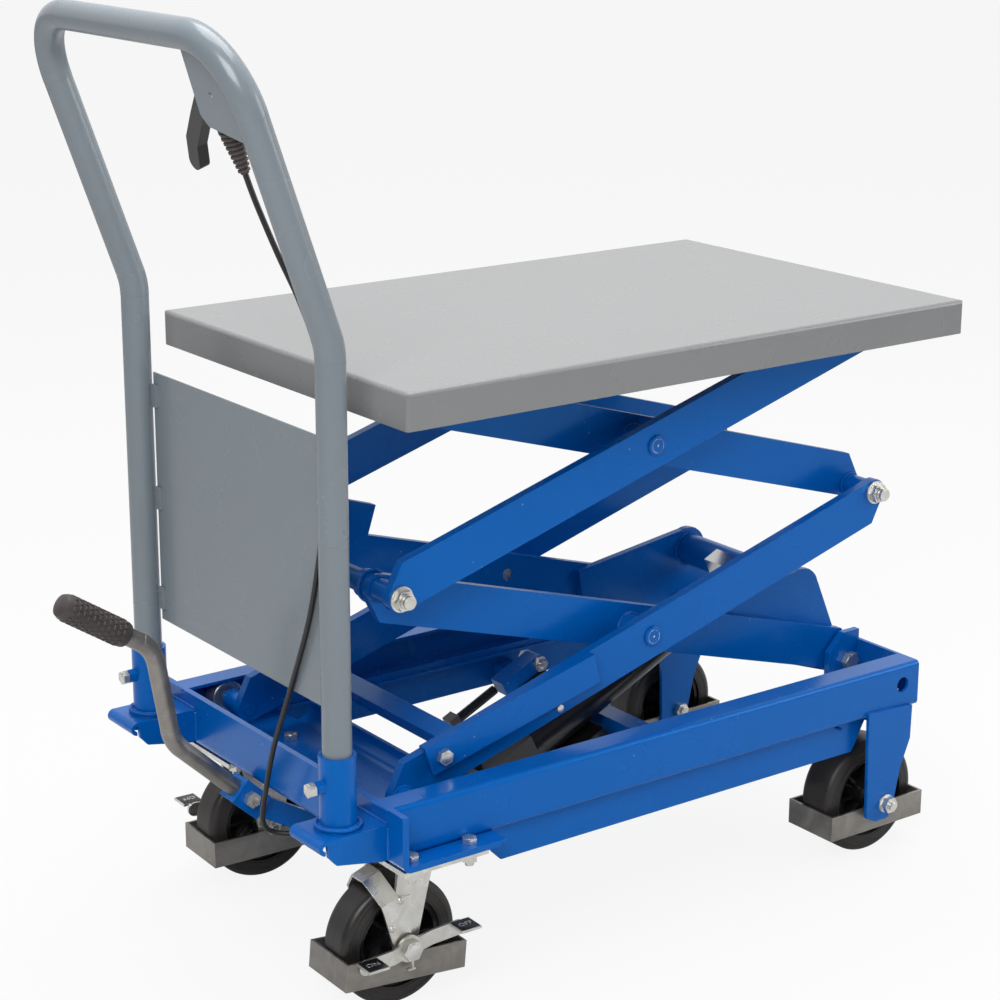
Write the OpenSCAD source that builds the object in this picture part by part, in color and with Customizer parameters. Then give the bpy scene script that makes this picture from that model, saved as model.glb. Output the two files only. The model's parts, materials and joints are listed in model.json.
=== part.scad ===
// Double-scissor lift table: a push cart with a foot-pumped hydraulic lift.
// X runs along the table with the push handle at -X, Y runs across it and Z is up.
// The wheels stand on z = 0, and the origin is the middle of the whole table's footprint.
// Most places are counted from the middle of the base frame, which lies base_x from the origin.

/* [Platform] */
// Length of the platform
platform_l = 830; // [700:5:1000]
// Width of the platform
platform_w = 525; // [480:5:700]
// Height of the platform's folded skirt
skirt_h = 42; // [38:1:60]
// Sheet thickness of the platform
deck_t = 3; // [2:0.5:4]
// Distance of the platform's middle from the pins at its fixed end
platform_back = 363; // [340:1:390]

/* [Base frame] */
// Length of the side rails
base_l = 810; // [780:5:980]
// Width over the side rails
base_w = 496; // [470:2:660]
// Height of the rails' top above the floor
rail_top = 258; // [250:1:290]
// Height of a side rail
rail_h = 60; // [52:1:66]
// Width of a rail's flange
rail_flange = 35; // [30:1:42]
// Thickness of the rail's steel
rail_t = 4; // [3:0.5:5]
// Thickness of the caster plate and the handle-end cross plate
plate_t = 7; // [5:0.5:8]
// How far the caster plate sticks out past each rail
ledge_w = 26; // [20:1:34]

/* [Scissor arms] */
// Distance between an arm's end pins
arm_l = 768; // [740:4:800]
// Angle of the arms above level at rest
arm_angle = 18.06; // [14:0.1:24]
// Width of an arm
arm_w = 55; // [46:1:60]
// Thickness of an arm
arm_t = 12; // [8:1:14]
// Distance of the outer arms' outer faces from the middle
outer_y = 176; // [160:1:184]
// Gap between an outer arm and the inner arm beside it
arm_gap = 34; // [30:1:40]
// Radius of the scissor pins
pin_r = 8; // [6:0.5:10]
// Running clearance of a pin in its hole
fit = 0.05; // [0.02:0.01:0.1]
// Radius of the rollers in the side rails
roller_r = 21.5; // [16:0.5:22]
// Radius of the rollers below the platform
top_roller_r = 13; // [10:0.5:14]
// Height of the base pins below the rails' top
base_pin_drop = 26; // [25:0.5:28]
// Depth of the platform pins below the platform's top
top_pin_drop = 20; // [19:0.5:26]

/* [Handle] */
// Outside radius of the handle tube
tube_r = 16.7; // [14:0.1:18]
// Wall of the handle tube
tube_wall = 3.4; // [2:0.1:4]
// Distance between the middles of the handle's posts
handle_w = 428; // [400:2:560]
// Distance of the posts outside the base's end
handle_out = 53; // [48:1:64]
// Height of the handle's kink above the rails' top
kink_h = 519; // [440:5:600]
// Height of the handle's top bar above the rails' top
handle_h = 840; // [760:5:900]
// How far the top bar leans out past the posts
handle_lean = 113; // [60:1:140]
// Bend radius of the handle's top corners
corner_r = 82; // [60:1:100]
// Outside radius of the sockets that hold the posts
socket_r = 21.1; // [20.5:0.1:23]
// Radial clearance of a post in its socket
socket_fit = 0.4; // [0.3:0.1:0.8]

/* [Wheels] */
// Radius of the wheels
wheel_r = 76.2; // [70:0.1:80]
// Width of a tyre
tyre_w = 50; // [44:1:52]
// Depth of the tyre from its tread to its seat on the wheel's core
tyre_depth = 22.2; // [18:0.1:28]
// Distance of the fixed axle from the base's +X end
fixed_axle_in = 55; // [50:1:70]
// Distance of the fixed wheels from the middle
fixed_wheel_y = 200; // [180:1:210]
// Distance of a swivel axis from the base's -X end
swivel_in = 53; // [50:1:60]
// Distance of a swivel axis from the middle
swivel_y = 191; // [180:1:200]
// Distance of the caster's axle behind its swivel axis
trail = 25; // [20:1:40]
// Turn of the near caster at rest
near_turn = -1; // [-25:1:25]
// Turn of the far caster at rest
far_turn = 178; // [155:1:205]

/* [Lift drive] */
// Distance of the yoke tube from the lift's base pin
yoke_r = 122; // [110:1:130]
// Angle of the yoke tube above level, seen from the base pin
yoke_angle = 122.6; // [118:0.1:128]
// Angle of the cylinder above level
ram_angle = 25.35; // [23:0.05:28]
// Radius of the cylinder's barrel
barrel_r = 30; // [26:0.5:34]
// Radius of the piston rod
rod_r = 14; // [10:0.5:16]
// Distance of the foot lever from the middle
lever_y = 46; // [44:1:60]

/* [Hidden] */

blue = [0, 0.33, 0.65];
grey = [0.45, 0.5, 0.53];
zinc = [0.62, 0.62, 0.6];
black = [0.1, 0.1, 0.1];

// Base frame
half_l = base_l / 2;
rail_y = base_w / 2;
rail_bottom = rail_top - rail_h;
plate_bottom = rail_bottom - plate_t;
ledge_y = rail_y + ledge_w;
cross_t = 8;
pan_l = 129;
track_h = rail_h - rail_t - base_pin_drop - roller_r - 0.3;
lower_side_drop = 46;
lower_side_set = 14;

// Scissor
arm_rise = arm_l * sin(arm_angle);
arm_run = arm_l * cos(arm_angle);
base_pin_z = rail_top - base_pin_drop;
mid_pin_z = base_pin_z + arm_rise;
top_pin_z = base_pin_z + 2 * arm_rise;
pin_x1 = half_l - 22;
pin_x0 = pin_x1 - arm_run;
inner_y = outer_y - arm_t - arm_gap;
platform_x = pin_x1 - platform_back;
arm_end_r = 16.5;
arm_offset = arm_w / 2 - arm_end_r;
platform_top = top_pin_z + top_pin_drop;
deck_under = platform_top - deck_t;

// Handle
post_x = -half_l - handle_out;
post_y = handle_w / 2;
ear_top = rail_top - 17;
socket_h = 84;
lean_angle = atan2(handle_lean, handle_h - kink_h);
lean_l = norm([handle_lean, handle_h - kink_h]);
kink_z = rail_top + kink_h;
panel_x = post_x + 12;

// Wheels
core_r = wheel_r - tyre_depth;
axle_r = 6;
fixed_axle_x = half_l - fixed_axle_in;
swivel_x = -half_l + swivel_in;
caster_plate = [114, 159, 6];
caster_bolt_x = 79;
caster_bolt_y = 133;
guard_h = 33;
guard_z = 37;
guard_l = 161;
guard_w = 80;
guard_t = 3;

// Hydraulic drive, along its own axis from the yoke tube down to the pump
yoke_x = pin_x1 + yoke_r * cos(yoke_angle);
yoke_z = base_pin_z + yoke_r * sin(yoke_angle);
yoke_tube_r = 21;
saddle_gap = 0.5;
mouth_s = -98;
barrel_foot_s = -400;
pump_foot_s = -480;

// Foot lever, in the plane across the table at lever_y
lever_pivot = [pin_x1 - 483, 138];
lever_knee = [75 - half_l, 116];
lever_mouth = [-35 - half_l, 192];
tube_bend_1 = [-115 - half_l, 268];
tube_bend_2 = [-135 - half_l, 388];
grip_end = [-250 - half_l, 464];
grip_l = 96;
grip_r = 16.5;
lever_tube_r = 11;

grip_dir = (grip_end - tube_bend_2) / norm(grip_end - tube_bend_2);
grip_round = 8;
grip_min_x = grip_end[0] - grip_round * grip_dir[0] - (grip_r - grip_round) * abs(grip_dir[1]) - grip_round;

// The frame's middle, worked out from the grip's end and the platform's end
base_x = -(grip_min_x + platform_x + platform_l / 2) / 2;

// Release cable, from the boot down the post to the pump's valve
cable_r = 3.2;
cable_route = [[-514.5, -136, 971], [-507, -136, 949], [-497, -140, 918], [-482, -154, 868],
    [-467, -170, 820], [-457, -185, 770], [-454, -191, 720], [-454, -191, 640], [-453, -187, 590], [-452, -176, 540],
    [-452, -152, 460], [-451, -110, 370], [-446, -60, 280], [-440, -28, 210], [-434, -10, 168], [-420, -8, 149],
    [-390, -24, 145], [-330, -44, 150], [-250, -50, 148], [-180, -47, 128], [-130, -42, 114], [-92, -40.6, 112]];

module at_base() translate([base_x, 0, 0]) children();

// Both sides of the table, the second one mirrored
module both_sides() {
    children();
    mirror([0, 1, 0]) children();
}

// A flat plate with its outline in X and Z, from y to y + t
module side_plate(y, t) translate([0, y + t, 0]) rotate([90, 0, 0]) linear_extrude(t) children();

// A plate on each side: its outline in X and Z, with its outer face at y
module plate_pair(y, t) both_sides() side_plate(y - t, t) children();

// A round bar along Y from y0 to y1
module bar_y(x, z, y0, y1, r) translate([x, y0, z]) rotate([-90, 0, 0]) cylinder(h = y1 - y0, r = r, $fn = 40);

// A hexagon along Y, af across its flats
module hex_y(x, z, y0, y1, af) translate([x, y0, z]) rotate([-90, 0, 0])
    cylinder(h = y1 - y0, r = af / 2 / cos(30), $fn = 6);

// A hexagon along Z
module hex_z(x, y, z0, z1, af) translate([x, y, z0]) cylinder(h = z1 - z0, r = af / 2 / cos(30), $fn = 6);

function unit(v) = v / norm(v);

// Points along an arc round c
function arc(c, r, a0, a1, n = 10) = [for (i = [0 : n]) let (a = a0 + (a1 - a0) * i / n) c + r * [cos(a), sin(a)]];

// The point d to the left of a chain's point i, with its corner mitred
function beside(points, i, d) = let (last = len(points) - 1, a = unit(points[max(i, 1)] - points[max(i, 1) - 1]),
    b = unit(points[min(i, last - 1) + 1] - points[min(i, last - 1)]), n = unit([-a[1] - b[1], a[0] + b[0]]))
    points[i] + n * d / (n * [-a[1], a[0]]);

// A flat strip of width w along a chain of points, with round ends
module strip(points, w) {
    last = len(points) - 1;
    start = unit(points[0] - points[1]);
    end = unit(points[last] - points[last - 1]);
    turn0 = atan2(start[1], start[0]);
    turn1 = atan2(end[1], end[0]);
    polygon(concat([for (i = [1 : last - 1]) beside(points, i, w / 2)], arc(points[last], w / 2, turn1 + 90, turn1 - 90),
        [for (i = [last - 1 : -1 : 1]) beside(points, i, -w / 2)], arc(points[0], w / 2, turn0 + 90, turn0 - 90)));
}

// A round rod of radius r along a chain of points, bent to radius bend at each inner point
module bent_rod(points, bend, r, ledge = 0.15) {
    n = len(points);
    lap = 0.4;
    dirs = [for (i = [0 : n - 2]) unit(points[i + 1] - points[i])];
    turns = [for (i = [1 : n - 2]) acos(dirs[i - 1] * dirs[i])];
    cuts = [0, for (t = turns) bend * tan(t / 2), 0];
    for (i = [0 : n - 2]) {
        before = i == 0 ? 0 : lap;
        after = i == n - 2 ? 0 : lap;
        start = points[i] + dirs[i] * (cuts[i] - before);
        run = norm(points[i + 1] - points[i]) - cuts[i] - cuts[i + 1] + before + after;
        side = unit(cross(dirs[i], abs(dirs[i][1]) > 0.9 ? [1, 0, 0] : [0, 1, 0]));
        third = cross(dirs[i], side);
        multmatrix([[side[0], third[0], dirs[i][0], start[0]], [side[1], third[1], dirs[i][1], start[1]],
            [side[2], third[2], dirs[i][2], start[2]], [0, 0, 0, 1]]) cylinder(h = run, r = r - ledge, $fn = 40);
    }
    for (i = [1 : n - 2]) {
        a = dirs[i - 1];
        inward = unit(dirs[i] - a * (dirs[i] * a));
        axis = cross(a, inward);
        centre = points[i] - a * cuts[i] + inward * bend;
        multmatrix([[-inward[0], a[0], axis[0], centre[0]], [-inward[1], a[1], axis[1], centre[1]],
            [-inward[2], a[2], axis[2], centre[2]], [0, 0, 0, 1]])
            rotate_extrude(angle = turns[i - 1], $fn = 60) translate([bend, 0]) circle(r = r, $fn = 40);
    }
}

// A plain tube swept along a chain of points, for a cable
module swept(points, r, sides = 8) {
    n = len(points);
    rings = [for (i = [0 : n - 1]) let (a = unit(points[min(i + 1, n - 1)] - points[max(i - 1, 0)]),
        b = unit(cross(a, [0.3, 1, 0.1])), c = cross(a, b))
        for (k = [0 : sides - 1]) points[i] + r * (cos(k * 360 / sides) * b + sin(k * 360 / sides) * c)];
    walls = [for (i = [0 : n - 2], k = [0 : sides - 1]) let (j = (k + 1) % sides)
        [i * sides + k, i * sides + j, (i + 1) * sides + j, (i + 1) * sides + k]];
    ends = [[for (k = [sides - 1 : -1 : 0]) k], [for (k = [0 : sides - 1]) (n - 1) * sides + k]];
    polyhedron(rings, concat(walls, ends));
}

// Side rails: channels open to the middle, a roller track inside and a set-back skirt below
module side_rails() color(blue) at_base() both_sides() {
    translate([-half_l, -rail_y, rail_bottom]) rotate([90, 0, 90]) difference() {
        linear_extrude(base_l) rail_section();
        translate([-1, rail_h - 27, base_l - 28]) rotate([0, 90, 0]) cylinder(h = rail_t + 2, r = 10, $fn = 40);
    }
    side_plate(-rail_y + lower_side_set, rail_t) polygon([[-half_l + 134, rail_bottom + 1],
        [-half_l + 134, rail_bottom - lower_side_drop + 20], [-half_l + 154, rail_bottom - lower_side_drop],
        [half_l - 101, rail_bottom - lower_side_drop], [half_l - 76, rail_bottom], [half_l - 76, rail_bottom + 1]]);
}

// A channel's section: its web along the left edge, its flanges to the right
module rail_section() {
    bend = 6;
    difference() {
        union() {
            translate([bend, 0]) square([rail_flange - bend, rail_h]);
            translate([0, bend]) square([rail_flange, rail_h - 2 * bend]);
            for (z = [bend, rail_h - bend]) translate([bend, z]) circle(r = bend, $fn = 40);
        }
        translate([rail_t, rail_t + track_h]) square([rail_flange, rail_h - 2 * rail_t - track_h]);
        translate([rail_t + 26, rail_t]) square([rail_flange, track_h + 1]);
    }
}

// Handle-end plate: the upright cross plate and the caster plate, folded from one sheet
module handle_end_plate() color(blue) at_base() {
    bend = 12;
    difference() {
        translate([0, ledge_y, 0]) rotate([90, 0, 0]) linear_extrude(2 * ledge_y) {
            translate([-half_l - cross_t, plate_bottom + bend]) square([cross_t, rail_h + plate_t - bend]);
            translate([-half_l - cross_t + bend, plate_bottom]) square([pan_l, plate_t]);
            difference() {
                intersection() {
                    translate([-half_l - cross_t, plate_bottom]) square(bend);
                    translate([-half_l - cross_t + bend, plate_bottom + bend]) circle(r = bend, $fn = 48);
                }
                translate([-half_l, rail_bottom]) square(bend);
            }
        }
        both_sides() translate([swivel_x, -swivel_y, plate_bottom - 1]) caster_bolt_spots()
            cylinder(h = plate_t + 2, r = 5.1, $fn = 30);
        // Corners cut off the caster plate's inner ends
        both_sides() translate([-half_l - cross_t + bend + pan_l, -ledge_y, plate_bottom - 1]) rotate([0, 0, 45])
            cube([12, 12, plate_t + 2], center = true);
    }
    // The plate's inner edge rolls up between the rails
    roll = 26;
    reach = rail_y - 2 * rail_flange;
    translate([-half_l - cross_t + bend + pan_l - 0.5, reach, plate_bottom + roll]) rotate([90, 0, 0])
        linear_extrude(2 * reach) intersection() {
            difference() {
                circle(r = roll, $fn = 60);
                circle(r = roll - 5, $fn = 60);
            }
            translate([0, -roll]) square(roll);
        }
}

// Wheel-end plate: the cross plate at the +X end, with the lift's pivot brackets welded to it
module wheel_end_plate() color(blue) at_base() {
    reach = rail_y - rail_flange - 0.2;
    translate([half_l - 5, -reach, rail_bottom]) cube([5, 2 * reach, rail_h]);
    plate_pair(inner_y + 12, 9) difference() {
        polygon([[pin_x1 - 34, rail_bottom + 12], [pin_x1 - 34, rail_top - 10], [pin_x1 - 10, rail_top + 14],
            [half_l - 4, rail_top + 14], [half_l - 4, rail_bottom + 12]]);
        translate([pin_x1, base_pin_z]) circle(r = pin_r + fit, $fn = 40);
    }
}

// Handle ears: formed brackets with down-turned sides that carry the sockets
module handle_ears() color(blue) at_base() both_sides() {
    ear_w = 62;
    ear_t = 5;
    tip_x = post_x - 36;
    root_x = -half_l - cross_t - 0.1;
    translate([0, -post_y - ear_w / 2, 0]) {
        translate([tip_x, 0, ear_top - ear_t]) cube([root_x - tip_x, ear_w, ear_t]);
        for (y = [0, ear_w - ear_t]) side_plate(y, ear_t) polygon([[root_x, ear_top - 2],
            [tip_x + 2, ear_top - 2], [tip_x + 4, ear_top - 20], [tip_x + 14, ear_top - 31],
            [root_x - 8, ear_top - 42], [root_x, ear_top - 42]]);
        // Curled lip at the tip
        translate([tip_x, ear_w, ear_top - 8]) rotate([90, 0, 0]) linear_extrude(ear_w) intersection() {
            difference() {
                circle(r = 8, $fn = 40);
                circle(r = 3.5, $fn = 40);
            }
            translate([-8, -8]) square([8, 16]);
        }
    }
}

// Pipe sockets with a welded nut for the set bolt
module handle_sockets() color(blue) at_base() both_sides() translate([post_x, -post_y, ear_top]) difference() {
    union() {
        cylinder(h = socket_h, r = socket_r, $fn = 60);
        cylinder(h = 5, r1 = socket_r + 5, r2 = socket_r, $fn = 60);
        translate([-socket_r - 8, 0, socket_h - 34]) rotate([0, 90, 0])
            cylinder(h = 10, r = 8.7, $fn = 6);
    }
    translate([0, 0, -1]) cylinder(h = socket_h + 2, r = tube_r + socket_fit, $fn = 60);
    translate([-socket_r - 10, 0, socket_h - 34]) rotate([0, 90, 0]) cylinder(h = socket_r, r = 4.1, $fn = 30);
}

// Set bolts that clamp the posts in their sockets
module socket_bolts() color(zinc) at_base() both_sides()
    translate([post_x, -post_y, ear_top + socket_h - 34]) rotate([0, -90, 0]) {
        translate([0, 0, tube_r + 0.2]) cylinder(h = 20, r = 4, $fn = 30);
        translate([0, 0, socket_r + 9.5]) cylinder(h = 8, r = 7.5 / cos(30), $fn = 6);
    }

// Fixed forks for the +X wheels: an outer and an inner leg on a top pad under each rail
module fixed_forks() color(blue) at_base() both_sides() {
    leg_t = 5;
    top_z = rail_bottom;
    outer = fixed_wheel_y + 48;
    inner = fixed_wheel_y - 45;
    outline = [[fixed_axle_x - 36, top_z + 8], [half_l - 14, top_z + 4], [half_l - 15, top_z - 41],
        [half_l - 31, top_z - 80], [fixed_axle_x + 12, 60], [fixed_axle_x + 4, 54], [fixed_axle_x - 16, 54],
        [fixed_axle_x - 32, 62]];
    side_plate(-outer - leg_t, leg_t) difference() {
        polygon(outline);
        translate([fixed_axle_x, wheel_r]) circle(r = axle_r + fit, $fn = 40);
    }
    side_plate(-inner - leg_t, leg_t) difference() {
        polygon([for (p = outline) [p[0], min(p[1], top_z - 0.2)]]);
        translate([fixed_axle_x, wheel_r]) circle(r = axle_r + fit, $fn = 40);
    }
    translate([half_l - 73, -outer - 1, top_z - 8.2]) cube([52, outer - inner - 3, 8]);
}

// Fixed axle bolts with lock nuts outside the forks
module fixed_axles() color(zinc) at_base() both_sides() {
    face = -fixed_wheel_y - 53;
    inner = -fixed_wheel_y + 45;
    bar_y(fixed_axle_x, wheel_r, face - 16, inner + 12, axle_r);
    hex_y(fixed_axle_x, wheel_r, face - 12, face - 2.6, 19);
    bar_y(fixed_axle_x, wheel_r, face - 2.6, face - 0.1, 12);
    hex_y(fixed_axle_x, wheel_r, inner + 0.2, inner + 8, 19);
}

// Toe guard: a band of bare steel round a wheel, with its middle at the origin
module toe_guard_band() difference() {
    translate([-guard_l / 2, -guard_w / 2, guard_z]) cube([guard_l, guard_w, guard_h]);
    translate([-guard_l / 2 + guard_t, -guard_w / 2 + guard_t, guard_z - 1])
        cube([guard_l - 2 * guard_t, guard_w - 2 * guard_t, guard_h + 2]);
    translate([0, guard_w, wheel_r]) rotate([90, 0, 0]) cylinder(h = 2 * guard_w, r = axle_r + 2, $fn = 30);
}

module fixed_toe_guards() color([0.45, 0.44, 0.4]) at_base() both_sides()
    translate([fixed_axle_x, -fixed_wheel_y - 0.3, 0]) toe_guard_band();

// Tyre: a wide ring with rounded shoulders
module tyre(w) rotate([90, 0, 0]) rotate_extrude($fn = 120) {
    seat = core_r + fit;
    translate([seat, -w / 2 + 9]) square([wheel_r - seat, w - 18]);
    translate([seat, -w / 2]) square([wheel_r - seat - 9, w]);
    for (z = [-w / 2 + 9, w / 2 - 9]) translate([wheel_r - 9, z]) circle(r = 9, $fn = 40);
}

// Wheel core: a rim, a hub and eight ribs on a thin disc
module wheel_core(w) rotate([90, 0, 0]) difference() {
    union() {
        difference() {
            translate([0, 0, -w / 2]) cylinder(h = w, r = core_r, $fn = 100);
            translate([0, 0, -w / 2 - 1]) cylinder(h = w + 2, r = core_r - 6, $fn = 100);
        }
        translate([0, 0, -w / 2 - 4]) cylinder(h = w + 8, r = 17, $fn = 60);
        translate([0, 0, -3]) cylinder(h = 6, r = core_r - 3, $fn = 60);
        for (a = [0 : 45 : 315]) rotate([0, 0, a]) translate([10, -2, -w / 2 + 5]) cube([core_r - 14, 4, w - 10]);
    }
    translate([0, 0, -w]) cylinder(h = 2 * w, r = axle_r + fit, $fn = 40);
}

module at_fixed_wheel(side) at_base() translate([fixed_axle_x, side * fixed_wheel_y, wheel_r]) children();

module fixed_tyre_near() color(black) at_fixed_wheel(-1) tyre(tyre_w);
module fixed_tyre_far() color(black) at_fixed_wheel(1) tyre(tyre_w);
module fixed_hub_near() color(black) at_fixed_wheel(-1) wheel_core(tyre_w - 6);
module fixed_hub_far() color(black) at_fixed_wheel(1) wheel_core(tyre_w - 6);

// Caster top plates with the fixed race of each swivel bearing
module caster_top_plates() color(zinc) at_base() both_sides() translate([swivel_x, -swivel_y, plate_bottom - 0.2])
    mirror([0, 0, 1]) difference() {
        union() {
            translate([-caster_plate[0] / 2, -caster_plate[1] / 2, 0]) cube(caster_plate);
            cylinder(h = caster_plate[2] + 5, r1 = 34, r2 = 31, $fn = 60);
            cylinder(h = 22, r = 7, $fn = 40);
            translate([0, 0, 17.8]) cylinder(h = 4.2, r = 11, $fn = 40);
        }
        caster_bolt_spots() translate([0, 0, -1]) cylinder(h = 20, r = 5.1, $fn = 30);
    }

module caster_bolt_spots() for (x = [-1, 1], y = [-1, 1])
    translate([x * caster_bolt_x / 2, y * caster_bolt_y / 2, 0]) children();

// Caster bolts: heads on the caster plate, nuts under the top plates
module caster_bolts() color(zinc) at_base() both_sides() translate([swivel_x, -swivel_y, 0])
    caster_bolt_spots() {
        hex_z(0, 0, rail_bottom + 0.1, rail_bottom + 6.5, 16);
        translate([0, 0, plate_bottom - 20]) cylinder(h = 24 + plate_t, r = 4.9, $fn = 30);
        hex_z(0, 0, plate_bottom - 15, plate_bottom - caster_plate[2] - 0.4, 16);
    }

// A swivel caster at rest: its axle lies trail behind the swivel axis, towards its own -X
module at_swivel(side) at_base() translate([swivel_x, side * swivel_y, 0])
    rotate([0, 0, side < 0 ? near_turn : far_turn]) children();

// Swivel fork: crown, two swept legs and the bracket over the wheel
module swivel_fork() {
    crown_z = plate_bottom - caster_plate[2] - 5.6;
    leg_in = tyre_w / 2 + 4;
    leg_t = 5;
    out = leg_in + leg_t;
    translate([0, 0, crown_z - 6]) difference() {
        union() {
            cylinder(h = 6, r = 37, $fn = 60);
            translate([-trail - 10, -out, 0]) cube([46, 2 * out, 6]);
        }
        translate([0, 0, -1]) cylinder(h = 8, r = 7 + fit, $fn = 40);
    }
    translate([-trail, 0, wheel_r]) {
        top = crown_z - wheel_r - 3;
        for (y = [-out, leg_in]) side_plate(y, leg_t) difference() {
            polygon([[-8, top], [40, top], [29, 58], [20, 20], [12, -14], [-12, -14], [-17, 6], [-13, 62]]);
            circle(r = axle_r + fit, $fn = 40);
        }
        // Brake bracket: side plates on the legs and a cover that folds over the wheel
        for (y = [-out - 3, out]) side_plate(y, 3) difference() {
            polygon([[-31, 51], [-8, 64], [6, 62], [6, -8], [-10, -10], [-20, 12]]);
            circle(r = axle_r + fit, $fn = 40);
        }
        rotate([0, -20, 0]) translate([-12, 0, 0]) rotate([90, 0, 90]) linear_extrude(24) polygon([
            [-out - 3, 52], [-out - 3, 65], [-12, 91], [12, 91], [out + 3, 65], [out + 3, 52],
            [out, 52], [out, 64], [11, 88], [-11, 88], [-out, 64], [-out, 52]]);
    }
}

// Swivel axle bolt
module swivel_axle() {
    face = guard_w / 2 + 0.3;
    bar_y(-trail, wheel_r, -face - 4, face + 12, axle_r);
    for (y = [-face + 0.2, face - 3.1]) bar_y(-trail, wheel_r, y, y + 2.9, 7.6);
    hex_y(-trail, wheel_r, -face - 11.5, -face - 3.7, 22);
    hex_y(-trail, wheel_r, face, face + 8, 19);
}

// Brake pedal: a rocker on the axle with a foot plate at each end
module brake_pedal() translate([-trail, 0, wheel_r]) {
    y0 = -guard_w / 2 - 3.7;
    side_plate(y0, 3.4) difference() {
        union() {
            strip([[-58, -7], [-22, -5], [0, 0], [30, 6], [66, 8]], 18);
            circle(r = 16, $fn = 40);
        }
        circle(r = axle_r + fit, $fn = 40);
    }
    translate([-71, y0 - 26, -1]) cube([27, 27, 3]);
    translate([53, y0 - 26, 14]) cube([27, 27, 3]);
}

module swivel_fork_near() color(zinc) at_swivel(-1) swivel_fork();
module swivel_fork_far() color(zinc) at_swivel(1) swivel_fork();
module swivel_axle_near() color(zinc) at_swivel(-1) swivel_axle();
module swivel_axle_far() color(zinc) at_swivel(1) swivel_axle();
module brake_pedal_near() color([0.2, 0.21, 0.22]) at_swivel(-1) brake_pedal();
module brake_pedal_far() color([0.2, 0.21, 0.22]) at_swivel(1) brake_pedal();
module swivel_toe_guard(tilt) translate([-trail, 0, wheel_r]) rotate([0, tilt, 0]) translate([0, 0, -wheel_r])
    toe_guard_band();

module swivel_toe_guard_near() color([0.45, 0.44, 0.4]) at_swivel(-1) swivel_toe_guard(5);
module swivel_toe_guard_far() color([0.45, 0.44, 0.4]) at_swivel(1) swivel_toe_guard(0);
module swivel_tyre_near() color(black) at_swivel(-1) translate([-trail, 0, wheel_r]) tyre(tyre_w - 4);
module swivel_tyre_far() color(black) at_swivel(1) translate([-trail, 0, wheel_r]) tyre(tyre_w - 4);
module swivel_hub_near() color(black) at_swivel(-1) translate([-trail, 0, wheel_r]) wheel_core(tyre_w - 10);
module swivel_hub_far() color(black) at_swivel(1) translate([-trail, 0, wheel_r]) wheel_core(tyre_w - 10);

// Handle: one tube with kinked posts and round top corners, and the gusset in its near corner
module handle_tube() color(grey) at_base() {
    foot_z = ear_top + 0.2;
    top_x = post_x - handle_lean;
    top_z = rail_top + handle_h;
    path = [[post_x, -post_y, foot_z], [post_x, -post_y, kink_z], [top_x, -post_y, top_z], [top_x, post_y, top_z],
        [post_x, post_y, kink_z], [post_x, post_y, foot_z]];
    inner = [[post_x, -post_y, foot_z - 1], [post_x, -post_y, kink_z], [top_x, -post_y, top_z],
        [top_x, post_y, top_z], [post_x, post_y, kink_z], [post_x, post_y, foot_z - 1]];
    difference() {
        bent_rod(path, corner_r, tube_r);
        bent_rod(inner, corner_r, tube_r - tube_wall, 0.6);
    }
    gusset();
}

// Places things in the leaning plane of the handle's top, with z up along the posts from the kink
module in_lean() translate([post_x, 0, kink_z]) rotate([0, -lean_angle, 0]) children();

// Gusset: a plate that fills the near top corner, with one small hole. It is welded to the
// straights and stands just clear of the bend between them
module gusset() in_lean() {
    corner = lean_l - corner_r;
    edge = post_y - corner_r;
    weld = tube_r - 1.7;
    round = [for (a = [176 : -8.6 : 90]) [-edge, corner] + (corner_r - tube_r - 0.3) * [cos(a), sin(a)]];
    translate([-2, 0, 0]) rotate([90, 0, 90]) linear_extrude(4) difference() {
        polygon(concat([[-edge + 4, lean_l - weld], [-edge + 18, lean_l - weld], [-edge + 24, lean_l - 90],
            [-edge + 14, lean_l - 102], [-post_y + weld, lean_l - 116], [-post_y + weld, corner - 4]], round));
        translate([-edge - 13, lean_l - 64]) circle(r = 3.5, $fn = 30);
    }
}

// Sheet panel between the posts, with three welded tabs on each side
module handle_panel() color(grey) at_base() {
    low = rail_top + 105;
    high = rail_top + 413;
    wide = post_y - tube_r - 1;
    tab_y = post_y - sqrt(tube_r * tube_r - 64) - 0.3;
    translate([panel_x - 1, -wide, low]) cube([2, 2 * wide, high - low]);
    both_sides() for (z = [low + 28, (low + high) / 2, high - 28])
        translate([panel_x - 4, -tab_y, z - 13]) cube([5, 14, 26]);
}

// Rubber boot where the cable leaves the gusset
module cable_boot() color(black) at_base() in_lean() translate([11, -post_y + 78, lean_l - 98])
    mirror([0, 0, 1]) difference() {
        union() {
            translate([-8.8, -13, 0]) cube([20, 26, 16]);
            translate([0, 0, 14]) cylinder(h = 46, r1 = 12.5, r2 = 6, $fn = 40);
        }
        translate([0, 0, 40]) cylinder(h = 30, r = cable_r + 0.3, $fn = 30);
    }

module release_cable() color(black) at_base() swept(cable_route, cable_r);

// Trigger: a curved finger that hangs from the gusset
module release_trigger() color([0.16, 0.15, 0.15]) at_base() in_lean()
    translate([2.3, -post_y + 102, lean_l - 74]) rotate([90, 0, 90]) linear_extrude(13) difference() {
        strip([[0, 0], [27, -26], [54, -54], [64, -78]], 20);
        circle(r = 2.5, $fn = 30);
    }

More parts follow.
